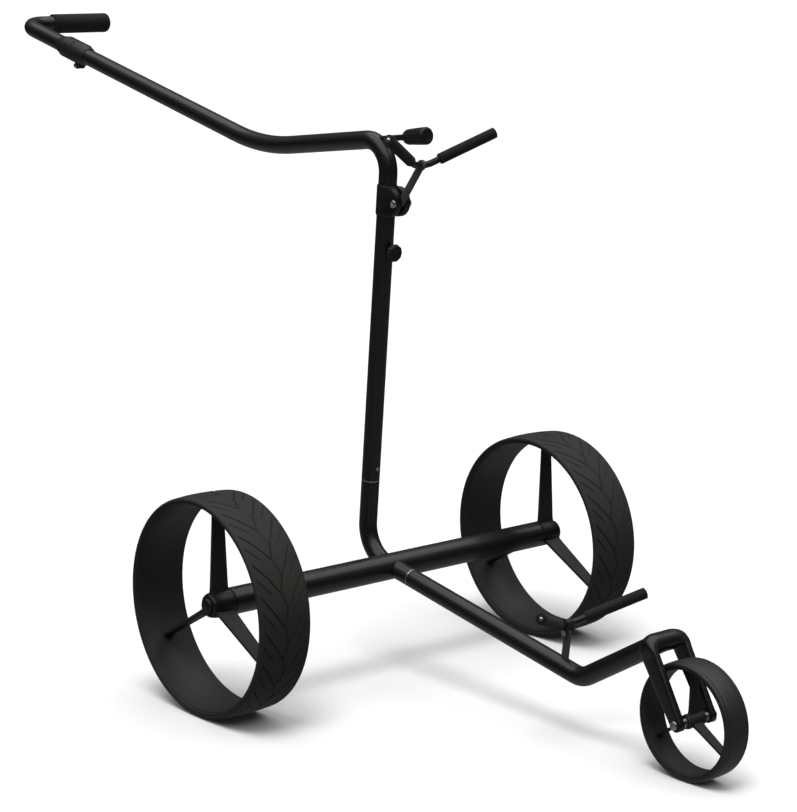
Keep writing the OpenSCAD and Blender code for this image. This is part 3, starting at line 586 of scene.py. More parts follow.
def frame_tube(name, route, sizes, plane, body, node, cut_end=0.0, radius=None):
    """A tube with open ends: the outside runs along the route, turns over a small round at each
    end and goes back inside the bore. The map counts tows along it and round it."""
    r = radius or sizes.tube_d / 2
    bore = r - sizes.tube_wall
    edge = 0.5 * MM
    end = route.length - cut_end
    count = max(2, int(end / TUBE_STEP))
    run = np.linspace(edge, end - edge, count)
    lip_s = np.array([45 * MM, edge, 0.15 * MM, 0.0, 0.0, 0.15 * MM])
    lip_r = np.array([bore, bore, bore + 0.15 * MM, bore + edge, r - edge, r - 0.15 * MM])
    s = np.concatenate([lip_s, run, end - lip_s[::-1]])
    radii = np.concatenate([lip_r, np.full(count, r), lip_r[::-1]])
    t = angles(48)
    points = carried(route, s, radii[:, None] * np.cos(t), radii[:, None] * np.sin(t), plane)
    around = 4 * round(2 * math.pi * r / sizes.tow / 4)
    u = np.repeat((s / (2 * math.pi * r / around))[:, None], 49, 1)
    v = np.repeat(np.linspace(0, around, 49)[None], len(s), 0)
    uv = np.stack([u, v], -1)
    return build(name, [(points, False, uv)], finish("carbon"), body, node)


class TROLLEY_OT_frame_tubes(Maker, bpy.types.Operator):
    """Makes the axle tube, the centre bend, the mast, the handle tube and the lower tube"""

    bl_idname = "trolley.frame_tubes"
    bl_label = "Frame tubes"

    def make(self, sizes):
        low, high = box_of("axle_tube")
        half = high[0]
        axle = Route([AXLE - half * X_AXIS, AXLE + half * X_AXIS])
        frame_tube("axle_tube_skin", axle, sizes, [0, 0, 1], "chassis", ["axle_tube"],
                   radius=(high[2] - low[2]) / 2)
        centre = Route([MAST_SEAM, LOW_CORNER, NOSE_SEAM], [0, CENTRE_BEND, 0])
        frame_tube("centre_bend_skin", centre, sizes, X_AXIS, "chassis", ["centre_bend"])
        ring = SEAM_RING + GAP
        mast = Route([MAST_SEAM + ring * MAST_UP, TOP_CORNER, HANDLE_KINK,
                      SWIVEL - GAP / 2 * HANDLE_WAY], [0, TOP_BEND, HANDLE_BEND, 0])
        frame_tube("mast_skin", mast, sizes, X_AXIS, "mast", ["mast_tube"])
        low_grip, _ = box_of("handle_tube")
        end = GRIP_CORNER.copy()
        end[0] = low_grip[0]
        handle = Route([SWIVEL + GAP / 2 * HANDLE_WAY, GRIP_CORNER, end], [0, GRIP_BEND, 0])
        frame_tube("handle_skin", handle, sizes, np.cross(X_AXIS, HANDLE_WAY), "handle",
                   ["handle_tube"])
        nose = Route([NOSE_SEAM + ring * NOSE_WAY, NOSE_KINK, CROWN], [0, NOSE_BEND, 0])
        frame_tube("nose_skin", nose, sizes, X_AXIS, "front_frame", ["nose_tube"],
                   cut_end=NECK_CUT)


class TROLLEY_OT_fork(Maker, bpy.types.Operator):
    """Makes the front fork, one carbon piece from leg tip to leg tip"""

    bl_idname = "trolley.fork"
    bl_label = "Fork"

    def make(self, sizes):
        """A squared-off section carried round a U. It is round in the crown and a flat oval in
        the legs, which narrow to a round tip: half width w and outer and inner half thickness
        are smooth functions of the distance from the crown's middle."""
        drop = FRONT_AXLE - CROWN
        leg = np.linalg.norm(drop)
        down = drop / leg
        crown_r = sizes.tube_d / 2
        end = leg + LEG_TIP_R
        corners = [CROWN - LEG_X * X_AXIS + end * down, CROWN - LEG_X * X_AXIS,
                   CROWN + LEG_X * X_AXIS, CROWN + LEG_X * X_AXIS + end * down]
        route = Route(corners, [0, FORK_BEND, FORK_BEND, 0])
        half = route.length / 2
        tip = LEG_TIP_R * (1 - np.cos(np.linspace(0, math.pi / 2, 14)[1:]))
        near = np.linspace(LEG_TIP_R, half, 90)[1:]
        d = np.concatenate([tip, near])
        s = np.concatenate([d, route.length - d[::-1][1:]])
        from_mid = np.abs(s - half)
        turn_start = LEG_X - FORK_BEND
        turn_end = turn_start + FORK_BEND * math.pi / 2
        t = (from_mid - turn_start) / (turn_end - turn_start)
        outer = crown_r + (LEG_HALF_T - crown_r) * smooth((t - 0.35) / 0.75)
        inner = crown_r + (LEG_HALF_T - crown_r) * smooth(t / 0.9)
        width = crown_r + (LEG_TIP_R - crown_r) * np.clip((from_mid - turn_end)
                                                      / (half - LEG_TIP_R - turn_end), 0, 1)
        past = np.clip((from_mid - (half - LEG_TIP_R)) / LEG_TIP_R, 0, 1)
        width = width * np.sqrt(np.clip(1 - past ** 2, 0.0004, 1))
        flat = 2 + 2.2 * smooth(t / 1.1)
        a = angles(56)
        c, n = rounded(a, flat[:, None])
        thick = np.where(c > 0, inner[:, None], outer[:, None])
        plane = np.cross(X_AXIS, down)
        sign = np.sign(np.cross(plane, X_AXIS) @ down)
        thick = thick if sign > 0 else np.where(c > 0, outer[:, None], inner[:, None])
        points = carried(route, s, thick * c, width[:, None] * n, plane)
        u = np.repeat((s / sizes.tow)[:, None], 57, 1)
        v = np.repeat(np.linspace(0, 36, 57)[None], len(s), 0)
        build("fork_shell", [(points, False, np.stack([u, v], -1))], finish("carbon"),
              "front_frame", ["fork_crown", "fork_leg_right", "fork_leg_left"])


def wheel_grid(centre, x, r, turn):
    """Points at distance r from a wheel's axle, at place x along it and turned by turn from the
    front towards the top."""
    y, z = r * np.cos(turn), r * np.sin(turn)
    return np.stack([centre[0] + x + 0 * y, centre[1] + y, centre[2] + z], -1)


TREAD_STEPS = np.array([-0.06, -0.046, -0.02, 0.0, 0.02, 0.046, 0.06, 0.15, 0.25, 0.35, 0.44,
                        0.454, 0.48, 0.5, 0.52, 0.546, 0.56, 0.65, 0.75, 0.85])
TREAD_ROWS = np.array([0.0, 0.014, 0.03, 0.045, 0.07, 0.12, 0.18, 0.25, 0.32, 0.40, 0.46, 0.50,
                       0.56, 0.62, 0.68, 0.74, 0.80, 0.85, 0.89, 0.92])


class TROLLEY_OT_rear_tyres(Maker, bpy.types.Operator):
    """Makes the two rear tyres with their swept-back tread"""

    bl_idname = "trolley.rear_tyres"
    bl_label = "Rear tyres"

    def make(self, sizes):
        """The tread is a grid whose columns lean back from the middle, turn = 2 pi (u + k |w|)
        / n, so that its slanting grooves follow them, and whose middle rows wave with
        cos(2 pi u). A groove's depth falls off straight with the distance from its line."""
        for name in ("right", "left"):
            low, high = box_of("tyre_" + name)
            centre = (low + high) / 2
            half, outer = (high[0] - low[0]) / 2, (high[2] - low[2]) / 2
            inner = outer - 6.5 * MM
            n = sizes.tread_count
            u = (np.arange(n)[:, None] + TREAD_STEPS[None]).ravel()[None]
            w = np.concatenate([-TREAD_ROWS[:0:-1], TREAD_ROWS])[:, None]
            phase = u - np.floor(u)
            lean = 1.15 * np.abs(w)
            wave = 0.075 * np.cos(2 * math.pi * u) * (1 - np.abs(w)) ** 2
            near_0 = np.minimum(phase, 1 - phase)
            near_5 = np.abs(phase - 0.5)
            here = np.where(w > 0, near_0, near_5)
            there = np.where(w > 0, near_5, near_0)
            size = np.abs(w)
            long_cut = np.clip((0.046 - here) / 0.026, 0, 1) * np.clip((0.90 - size) / 0.06, 0, 1)
            long_cut = long_cut * (size > 0.001)
            short_cut = (np.clip((0.046 - there) / 0.03, 0, 1)
                         * np.clip((size - 0.42) / 0.08, 0, 1) * (size < 0.915))
            mid_cut = np.clip((0.045 - size) / 0.03, 0, 1)
            cut = np.maximum(np.maximum(long_cut, 0.85 * short_cut), 0.9 * mid_cut)
            shoulder_x = half * np.array([0.945, 0.97, 0.988, 1.0, 1.0, 0.996, 1.0, 0.985, 0.93])
            shoulder_r = np.array([outer - 2.15 * MM, outer - 2.6 * MM, outer - 3.4 * MM, outer
                                   - 4.4 * MM, inner + 1.6 * MM, inner + 1.0 * MM, inner + 0.5
                                   * MM, inner, inner])
            tread_x = half * (w * 0.98 + wave)
            tread_r = outer - 2 * MM * w ** 2 - sizes.tread_depth * cut
            side_rows = np.ones((len(shoulder_x), 1))
            flat = np.ones((1, u.shape[1]))
            x = np.concatenate([-shoulder_x[::-1, None] * flat, tread_x,
                                shoulder_x[:, None] * flat])
            r = np.concatenate([shoulder_r[::-1, None] * flat, tread_r,
                                shoulder_r[:, None] * flat])
            lean = np.concatenate([side_rows * 1.06, lean, side_rows * 1.06])
            turn = 2 * math.pi * (u + lean) / n
            points = wheel_grid(centre, x, r, turn)
            marks = np.concatenate([0 * side_rows * flat, cut, 0 * side_rows * flat])
            build("rear_tyre_" + name, [(points, True)], finish("tread"), "wheel_" + name,
                  ["tyre_" + name], crease=28, marks=marks)


def ring_grid(centre, x, r, count):
    """A closed section of places x and radii r, turned about a wheel's axle."""
    x, r = np.asarray(x)[:, None], np.asarray(r)[:, None]
    return wheel_grid(centre, x + 0 * angles(count), r + 0 * angles(count), angles(count))


def blade_grid(centre, turn, r_in, r_out, root, tip, thick):
    """A flat spoke: a squared-off oval carried out along a radius, half as wide as root to tip,
    whose thickness flares at both ends by decaying exponentials."""
    way = np.array([0.0, math.cos(turn), math.sin(turn)])
    route = Route([centre + r_in * way, centre + r_out * way])
    s = np.concatenate([np.linspace(0, 0.16, 10), np.linspace(0.2, 0.85, 12),
                        np.linspace(0.88, 1, 9)]) * route.length
    share = s / route.length
    flare = 2.2 * MM * np.exp(-s / (3.2 * MM)) + 1.6 * MM * np.exp((s - route.length) / (2.4 * MM))
    half_t = thick / 2 + flare
    half_w = root / 2 + (tip - root) / 2 * share + 0.8 * flare
    c, n = rounded(angles(40), 6.5)
    return carried(route, s, half_t[:, None] * c, half_w[:, None] * n, X_AXIS)


def spoked(centre, lip_x, lip_r, count, *blade):
    """A rim that is the same on both sides, with three spokes, one of them upright."""
    x = np.concatenate([lip_x, -lip_x[::-1]])
    r = np.concatenate([lip_r, lip_r[::-1]])
    turns = math.pi / 2 + 2 * math.pi / 3 * np.arange(3)
    blades = [(blade_grid(centre, turn, *blade), False) for turn in turns]
    return [(ring_grid(centre, x, r, count), True)] + blades


class TROLLEY_OT_rear_rims(Maker, bpy.types.Operator):
    """Makes the rear rims: ring with its lips, three flat spokes and the hub"""

    bl_idname = "trolley.rear_rims"
    bl_label = "Rear rims"

    def make(self, sizes):
        for name, sign in (("right", 1), ("left", -1)):
            low, high = box_of("rim_" + name)
            tyre_low, tyre_high = box_of("tyre_" + name)
            centre = (tyre_low + tyre_high) / 2
            half = (tyre_high[0] - tyre_low[0]) / 2 - 1 * MM
            outer = (high[2] - low[2]) / 2
            inner = outer - 4.5 * MM
            lip_x = half * np.array([0.90, 0.975, 0.995, 1.0, 1.0, 0.99, 0.95, 0.93, 0.915, 0.88])
            lip_r = np.array([outer, outer, outer - 0.2 * MM, outer - 0.7 * MM, inner + 2.6 * MM,
                              inner + 2.0 * MM, inner + 1.6 * MM, inner + 1.5 * MM, inner + 0.3
                              * MM, inner + 0.05 * MM])
            grids = spoked(centre, lip_x, lip_r, 144, 12 * MM, inner + 1.6 * MM, 28 * MM, 16 * MM,
                           sizes.spoke_t)
            hub_x = mm(272.4, 272.4, 272.7, 273.4, 274.6, 274.9, 275.6, 275.9, 284, 289.5, 294,
                       299, 303, 305, 306.1, 306.5, 306.5, 306.1, 304.2, 303.6)
            hub_r = mm(9, 17.1, 17.8, 18.0, 18.0, 17.6, 17.6, 18.0, 18.0, 17.9, 17.5, 16.8, 15.8,
                       14.9, 13.9, 12.9, 12.1, 11.5, 11.45, 11.4)
            hub = turned(AXLE, sign * X_AXIS, hub_x, hub_r, 72)
            build("rear_rim_" + name, grids, finish("rim"), "wheel_" + name, ["rim_" + name],
                  crease=32)
            build("rear_hub_" + name, [(hub, False)], finish("hub"), "wheel_" + name, (),
                  crease=40)


class TROLLEY_OT_release_buttons(Maker, bpy.types.Operator):
    """Makes the domed buttons in the ends of the rear hubs"""

    bl_idname = "trolley.release_buttons"
    bl_label = "Release buttons"

    def make(self, sizes):
        """A smooth dome, closed inside the hub."""
        for name, sign in (("right", 1), ("left", -1)):
            s = mm(304.0, 304.0, 304.6, 306.6, 307.4, 308.2, 309.2, 310.2, 311.0, 311.5, 311.75)
            r = mm(6.5, 10.6, 11.1, 11.1, 11.0, 10.7, 10.0, 8.7, 6.8, 4.0, 1.2)
            cap = turned(AXLE, sign * X_AXIS, s, r, 64)
            build("release_button_" + name, [(cap, False)], finish("hub"), "release_" + name,
                  ["release_cap_" + name], crease=30)


class TROLLEY_OT_front_wheel(Maker, bpy.types.Operator):
    """Makes the front tyre and rim"""

    bl_idname = "trolley.front_wheel"
    bl_label = "Front wheel"

    def make(self, sizes):
        low, high = box_of("front_tyre")
        centre = (low + high) / 2
        half, outer = (high[0] - low[0]) / 2, (high[2] - low[2]) / 2
        inner = outer - 6 * MM
        w = np.array([0, 0.1, 0.25, 0.4, 0.55, 0.68, 0.70, 0.715, 0.745, 0.76, 0.78, 0.85, 0.90])
        cut = mm(0, 0, 0, 0, 0, 0, 0.2, 0.7, 0.7, 0.2, 0, 0, 0)
        drop = 1.2 * MM * w ** 2 + cut
        edge_x = np.array([0.93, 0.965, 0.99, 1.0, 1.0, 0.985, 0.99, 0.94])
        edge_r = np.array([outer - 1.5 * MM, outer - 2.0 * MM, outer - 2.8 * MM, outer - 3.6 * MM,
                           inner + 1.5 * MM, inner + 1.0 * MM, inner + 0.4 * MM, inner])
        one_x = np.concatenate([w, edge_x]) * half
        one_r = np.concatenate([outer - drop, edge_r])
        x = np.concatenate([-one_x[:0:-1], one_x])
        r = np.concatenate([one_r[:0:-1], one_r])
        build("front_tyre_skin", [(ring_grid(centre, x, r, 160), True)], finish("slick"),
              "front_wheel", ["front_tyre"], crease=30)
        rim_out = inner - 0.05 * MM
        rim_in = rim_out - 3.5 * MM
        half -= 1 * MM
        lip_x = half * np.array([0.86, 0.97, 1.0, 1.0, 0.98, 0.92, 0.89, 0.85])
        lip_r = np.array([rim_out, rim_out, rim_out - 0.5 * MM, rim_in + 1.9 * MM, rim_in + 1.3
                          * MM, rim_in + 1.1 * MM, rim_in + 0.25 * MM, rim_in])
        grids = spoked(centre, lip_x, lip_r, 128, 5.5 * MM, rim_in + 1.2 * MM, 16 * MM, 12 * MM,
                       4 * MM)
        s = mm(-15, -15, -14.4, -11, -10.6, -9.4, -9, 9, 9.4, 10.6, 11, 14.4, 15, 15)
        r = mm(4.5, 8.0, 8.6, 8.75, 9.3, 9.3, 8.75, 8.75, 9.3, 9.3, 8.75, 8.6, 8.0, 4.5)
        grids.append((turned(centre, X_AXIS, s, r, 56), False))
        build("front_rim_skin", grids, finish("rim"), "front_wheel", ["front_rim"],
              crease=32)


class TROLLEY_OT_grip(Maker, bpy.types.Operator):
    """Makes the rubber grip"""

    bl_idname = "trolley.grip"
    bl_label = "Grip"

    def make(self, sizes):
        """A sleeve turned about the handle's arm: a quarter-round nose, a raised band at each
        end and shallow ribs, r = r0 - depth * (1 - cos(2 pi s / pitch)) / 2."""
        low, high = box_of("grip")
        start = GRIP_CORNER.copy()
        start[0] = low[0]
        total = high[0] - low[0]
        r0 = sizes.grip_d / 2
        nose = 5.5 * MM
        a = np.linspace(0, math.pi / 2, 12)
        s_nose = nose * (1 - np.cos(a))
        r_nose = r0 - nose * (1 - np.sin(a))
        s_band = mm(9.0, 9.4, 10.0, 10.4)
        r_band = r0 - mm(0, 0.5, 0.5, 0)
        s_body = np.linspace(12 * MM, total - 9 * MM, 200)
        r_body = r0 - 0.18 * MM * (1 - np.cos(2 * math.pi * s_body / (4 * MM))) / 2
        s_tail = total - mm(7.4, 7.0, 6.4, 6.0, 1.6, 0.7, 0.2, 0.0, 0.0, 0.0)
        r_tail = r0 - mm(0, 0.5, 0.5, 0, 0, 0.2, 0.7, 1.4, 2.5, 2.95)
        s = np.concatenate([s_nose, s_band, s_body, s_tail, [total - 40 * MM]])
        r = np.concatenate([r_nose, r_band, r_body, r_tail, [r0 - 3.0 * MM]])
        build("grip_skin", [(turned(start, X_AXIS, s, r, 64), False)], finish("rubber"),
              "handle", ["grip"], crease=30)


def collar_grid(origin, way, top, bore):
    """A clamp collar turned about the tube, whose far end leans: its place along the tube
    changes with cos(angle), so it ends in a step on one side and a long taper on the other."""
    s = mm(30, 0.3, 0.0, 0.0, 0.3, 1.0, 6.0, 6.3, 7.2, 7.5, 14, 20, 26, 27, 29, 33, 37, 38, 38)
    lean = np.array([0, 0, 0, 0, 0, 0, 0, 0, 0, 0, 0.3, 0.6, 1, 1, 1, 1, 0.6, 0.2, 0]) * COLLAR_LEAN
    drop = mm(0, 0, 0.3, 0, 0.7, 0, 0, 0.6, 0.6, 0, 0, 0, 0, 0.4, 1.3, 2.2, 3.0, 3.6, 4.2)
    radius = COLLAR_R - drop
    radius[0], radius[1], radius[2] = bore, bore, bore + 0.3 * MM
    radius[3] = COLLAR_R - 0.7 * MM
    radius[4] = COLLAR_R - 0.3 * MM
    t = angles(72)
    place = s[:, None] - lean[:, None] * (1 + np.cos(t)) / 2
    ridges = np.where((s > 9 * MM) & (s < 25 * MM), 1.0, 0.0)[:, None]
    radius = radius[:, None] - 0.35 * MM * ridges * (np.cos(18 * t) > 0.2)
    return turned(origin, way, place, radius, 72, up=top)


class TROLLEY_OT_swivel_collars(Maker, bpy.types.Operator):
    """Makes the two clamp collars either side of the handle's swivel"""

    bl_idname = "trolley.swivel_collars"
    bl_label = "Swivel collars"

    def make(self, sizes):
        bore = sizes.tube_d / 2 + 0.05 * MM
        upward = np.cross(X_AXIS, HANDLE_WAY)
        upward = upward if upward[2] > 0 else -upward
        rear = collar_grid(SWIVEL + GAP / 2 * HANDLE_WAY, HANDLE_WAY, upward, bore)
        build("swivel_collar_rear", [(rear, False)], finish("collar"), "handle",
              ["collar_rear"], crease=40)
        front = collar_grid(SWIVEL - GAP / 2 * HANDLE_WAY, -HANDLE_WAY, -upward, bore)
        screw = mid_of("collar_screw")
        ear_route = Route([screw - CLAMP_HALF * X_AXIS, screw + CLAMP_HALF * X_AXIS])
        s = mm(0, 0.15, 0.8, 1.6, 5.6, 6.0, 8.0, 8.4, 12.4, 13.2, 13.85, 14.0)
        swell = np.array([0.80, 0.92, 0.98, 1, 1, 0.9, 0.9, 1, 1, 0.98, 0.92, 0.80])[:, None]
        c, n = rounded(angles(40), 3.4)
        ear = carried(ear_route, s, swell * 4.6 * MM * c, swell * 5.0 * MM * n, -upward)
        build("swivel_collar_front", [(front, False), (ear, False)], finish("collar"), "mast",
              ["collar_front"], crease=40)


def head_grid(origin, way, radius, height, facets=False):
    """A bolt head turned about its shank: a domed rim round a six-sided socket, whose radius is
    a / cos of the angle from the nearest flat."""
    t = angles(72)
    flat = np.mod(t + math.pi / 6, math.pi / 3) - math.pi / 6
    hexagon = 1 / np.cos(flat)
    rim = np.array([0.5, 0.92, 1.0, 1.0, 0.96, 0.86, 0.70, 0.58])[:, None] * radius
    outer = rim * (hexagon * 0.93 if facets else 1.0) * np.ones_like(t)
    s = np.array([0.0, 0.0, 0.06, 0.60, 0.80, 0.93, 1.0, 1.0, 0.98, 0.45])[:, None]
    socket = np.array([0.46, 0.44])[:, None] * radius * hexagon
    return turned(origin, way, s * height * np.ones_like(t), np.concatenate([outer, socket]), 72)


class TROLLEY_OT_bracket(Maker, bpy.types.Operator):
    """Makes the bracket on the mast that the upper support turns in"""

    bl_idname = "trolley.bracket"
    bl_label = "Mast bracket"

    def make(self, sizes):
        """A band turned about the mast and two round cheeks turned about the pivot's direction,
        each with a rounded rim and a shallow dish."""
        r = sizes.tube_d / 2
        s = mm(-20, -20, -19.6, -18.4, -12, -11.4, -10.6, -10, 10, 10.6, 11.4, 12, 18.4, 19.6, 20,
               20)
        p = mm(0.2, 0.8, 1.2, 1.5, 1.5, 1.2, 1.2, 1.5, 1.5, 1.2, 1.2, 1.5, 1.5, 1.2, 0.8, 0.2) + r
        grids = [(turned(BRACKET_AT, MAST_UP, s, p, 64, up=MAST_FRONT), False)]
        middle = BRACKET_AT + BRACKET_OUT * MAST_FRONT
        for sign in (-1, 1):
            s = mm(2.95, 2.95, 3.3, 4.1, 11.0, 12.1, 12.5, 12.5, 12.2, 11.9, 11.9)
            p = mm(12, 18.9, 19.6, 20.0, 20.0, 19.6, 18.7, 17.0, 16.4, 15.6, 8.0)
            grids.append((turned(middle, sign * X_AXIS, s, p, 72), False))
        build("bracket_body", grids, finish("moulded"), "mast", ["bracket"],
              crease=40)
        pivot = mid_of("bracket_bolt")
        heads = [(head_grid(pivot + CHEEK_OUT * sign * X_AXIS, sign * X_AXIS, 5.4 * MM, 3.2 * MM),
                  False) for sign in (-1, 1)]
        build("bracket_screws", heads, finish("steel"), "mast", (), crease=35)
        s = mm(-12.3, -12.3, -11.9, -2.95, -2.95, -2.62, -2.62, 2.62, 2.62, 2.95, 2.95, 11.9, 12.3,
               12.3)
        p = mm(1.0, 2.2, 2.5, 2.5, 4.4, 4.6, 2.45, 2.45, 4.6, 4.4, 2.5, 2.5, 2.2, 1.0)
        build("bracket_pivot", [(turned(pivot, X_AXIS, s, p, 48), False)], finish("steel"),
              "mast", ["bracket_bolt"], crease=35)


def strut_grid(start, end, half_w, half_t, eye_w):
    """A flat bar carried from start to end, thin across the trolley, with round ends: its half
    width is sqrt(w^2 - d^2) within w of an end, and it widens to an eye at the far one."""
    total = np.linalg.norm(end - start)
    route = Route([start, end])
    a = np.linspace(0.02, 1, 12)
    s = np.concatenate([-half_w * (1 - np.sin(a * math.pi / 2)),
                        np.linspace(0, total - eye_w, 24)[1:],
                        np.linspace(total - eye_w, total + eye_w, 26)[1:-1],
                        [total + eye_w * 0.999]])
    s = np.unique(np.round(s, 7))
    body = np.sqrt(np.clip(half_w ** 2 - np.minimum(s, 0) ** 2, 1e-9, None))
    eye = np.sqrt(np.clip(eye_w ** 2 - (s - total) ** 2, 1e-9, None))
    width = np.where(s > total, eye, np.maximum(body, np.where(s > total - eye_w, eye, 0)))
    c, n = rounded(angles(44), 7.0)
    return carried(route, s, width[:, None] * c, half_t * n + 0 * width[:, None], X_AXIS)


# Each rod's angle in degrees and rise in millimetres, and its middle
ROD_TURN = {"upper": (44, 59), "lower": (36, 58)}
ROD_MIDDLE = {"upper": side(60.786, 695.721), "lower": side(345.488, 142.600)}
ROD_FLAT, ROD_REACH, ROD_BEND, SLEEVE_START = mm(11, 92, 24, 24)


def rod_places(which):
    """A support rod's plane's up direction, and its four corners."""
    plane, rise = ROD_TURN[which]
    up = slope(math.cos(math.radians(plane)), math.sin(math.radians(plane)))
    middle = ROD_MIDDLE[which]
    tip = middle + rise * MM * up
    corners = [tip - ROD_REACH * X_AXIS, middle - ROD_FLAT * X_AXIS,
               middle + ROD_FLAT * X_AXIS, tip + ROD_REACH * X_AXIS]
    return up, corners


class TROLLEY_OT_supports(Maker, bpy.types.Operator):
    """Makes both bag supports: bent rods, rubber sleeves, bright rod ends and grey struts"""

    bl_idname = "trolley.supports"
    bl_label = "Bag supports"

    def make(self, sizes):
        """A rod is a circle carried round its bends. A sleeve is turned about its arm, with a
        soft round at its inner end and a ring with a recess at its tip."""
        r = sizes.rod_d / 2
        rs = sizes.sleeve_d / 2
        for which in ("upper", "lower"):
            body = which + "_support"
            up, corners = rod_places(which)
            route = Route(corners, [0, ROD_BEND, ROD_BEND, 0])
            s = np.concatenate([[0.5 * MM], np.linspace(0.8 * MM, route.length - 0.8 * MM, 150),
                                [route.length - 0.5 * MM]])
            radii = np.full(len(s), r)
            radii[[0, -1]] = r - 0.3 * MM
            plane = np.cross(X_AXIS, up)
            t = angles(36)
            points = carried(route, s, radii[:, None] * np.cos(t), radii[:, None] * np.sin(t),
                             plane)
            build(which + "_rod_bar", [(points, False)], finish("rod"), body, [which + "_rod"])
            sleeves, tips = [], []
            for a, b in ((corners[1], corners[0]), (corners[2], corners[3])):
                way = (b - a) / np.linalg.norm(b - a)
                arm = np.linalg.norm(b - a)
                start = (SLEEVE_START - ROD_FLAT) / abs(way[0])
                end = arm - 1.5 * MM
                body_s = np.linspace(start + 2.6 * MM, end - 3.2 * MM, 40)
                s = np.concatenate([[start + 8 * MM, start + 0.2 * MM, start, start,
                                     start + 0.5 * MM, start + 1.4 * MM], body_s,
                                    end - mm(2.9, 2.5, 2.1, 1.8, 0.9, 0.2, 0.0, 0.0, 0.4,
                                             1.5)])
                p = np.concatenate([[r, r, r + 0.4 * MM, rs - 1.3 * MM, rs - 0.5 * MM,
                                     rs - 0.1 * MM], np.full(40, rs),
                                    mm(0, -0.25, -0.25, 0, 0, -0.3, -0.9, -2.2, -2.7,
                                       -2.8) + rs])
                sleeves.append((turned(a, way, s, p, 48), False))
                dome = np.linspace(0.1, 1.45, 9)
                s = np.concatenate([[arm - 6 * MM, arm - 2.4 * MM],
                                    arm - 2.4 * MM + 2.4 * MM * np.sin(dome)])
                p = np.concatenate([[3.2 * MM, 3.7 * MM], 3.7 * MM * np.cos(dome)])
                tips.append((turned(a, way, s, p, 40), False))
            build(which + "_sleeve_pair", sleeves, finish("rubber"), body,
                  [which + "_sleeves"], crease=30)
            build(which + "_rod_tips", tips, finish("steel"), body, ())
        pivot = mid_of("bracket_bolt")
        bar = strut_grid(pivot, ROD_MIDDLE["upper"], STRUT_W / 2, STRUT_T / 2, UPPER_EYE_R)
        build("upper_strut_bar", [(bar, False)], finish("strut"), "upper_support",
              ["upper_strut"], crease=30)
        hinge = mid_of("lower_hinge_pin")
        foot = NOSE_KINK - STRUT_FOOT_BACK * NOSE_WAY + STRUT_FOOT_UP * np.cross(X_AXIS, NOSE_WAY)
        bar = strut_grid(foot, hinge, STRUT_W / 2, STRUT_T / 2, LOWER_EYE_R)
        build("lower_strut_bar", [(bar, False)], finish("strut"), "front_frame",
              ["lower_strut"], crease=30)


class TROLLEY_OT_knobs(Maker, bpy.types.Operator):
    """Makes the mast knob and the corner knob"""

    bl_idname = "trolley.knobs"
    bl_label = "Knobs"

    def make(self, sizes):
        """Both are turned with a fluted outside: r = r0 - depth * (1 + cos(n t)) / 2, raised to
        a power that keeps the lands broad."""
        s = mm(13.0, 13.0, 13.4, 16.5, 18.0, 18.4, 19.2, 20.4, 22.6, 24.2, 25.4, 26.1, 26.4, 26.5,
               26.3, 26.3)
        p = mm(4, 6.2, 6.7, 7.4, 8.4, 10.6, 11.6, 12.0, 12.0, 11.5, 10.4, 8.8, 7.4, 6.2, 5.6, 2.0)
        t = angles(96)
        cut = np.array([0, 0, 0, 0, 0, 0.5, 0.9, 1, 1, 0.8, 0.4, 0.1, 0, 0, 0, 0])[:, None]
        flute = ((1 + np.cos(10 * t)) / 2) ** 3
        points = turned(MAST_KNOB_AT, MAST_FRONT, s, p[:, None] - 0.9 * MM * cut * flute, 96)
        build("mast_knob_head", [(points, False)], finish("moulded"), "mast_knob",
              ["mast_knob"], crease=40)
        s = mm(0, 0, 0.4, 1.2, 3.6, 4.4, 5.0, 5.6, 7.0, 10, 15, 20, 26, 32, 37, 39, 40.6, 41.8,
               42.6, 43, 43, 42.7, 42.7)
        p = mm(4.2, 7.0, 7.8, 8.4, 9.6, 10.0, 9.5, 10.2, 10.5, 10.6, 10.8, 11.05, 11.3, 11.6,
               11.75, 11.75, 11.4, 10.7, 9.8, 9.0, 7.4, 7.0, 3.0)
        cut = np.array([0, 0, 0, 0, 0, 0, 0, 0, 0.2, 1, 1, 1, 1, 1, 0.8, 0.3, 0, 0, 0, 0, 0, 0,
                        0])[:, None]
        flute = ((1 + np.cos(12 * t)) / 2) ** 3
        points = turned(CORNER_KNOB_AT, -SHELF_WAY, s, p[:, None] - 0.9 * MM * cut * flute, 96)
        build("corner_knob_head", [(points, False)], finish("moulded"), "corner_knob",
              ["corner_knob"], crease=40)


class TROLLEY_OT_fasteners(Maker, bpy.types.Operator):
    """Makes the bolt heads, the nut and the bright collars at the front axle"""

    bl_idname = "trolley.fasteners"
    bl_label = "Fasteners"

    def make(self, sizes):
        head = head_grid(FRONT_AXLE + BOLT_OUT * X_AXIS, X_AXIS, 5.6 * MM, 3 * MM)
        s = BOLT_OUT * np.array([-1, -1, 1, 1])
        shank = turned(FRONT_AXLE, X_AXIS, s, mm(1, 3, 3, 1), 40)
        build("front_bolt", [(head, False), (shank, False)], finish("steel"), "front_frame",
              ["front_axle_bolt"])
        nut = head_grid(FRONT_AXLE - BOLT_OUT * X_AXIS, -X_AXIS, 5.5 * MM, 3.4 * MM, True)
        build("front_nut", [(nut, False)], finish("steel"), "front_frame", ["front_axle_nut"])
        rings = []
        for sign in (-1, 1):
            s = mm(15.4, 15.4, 15.7, 17.6, 17.9, 18.9, 19.2, 21.7, 22.0, 22.0)
            p = mm(3.1, 5.9, 6.3, 6.3, 5.7, 5.7, 6.3, 6.3, 5.9, 3.1)
            rings.append((turned(FRONT_AXLE, sign * X_AXIS, s, p, 48), False))
        build("hub_collar_pair", rings, finish("steel"), "front_frame", ["hub_collars"])


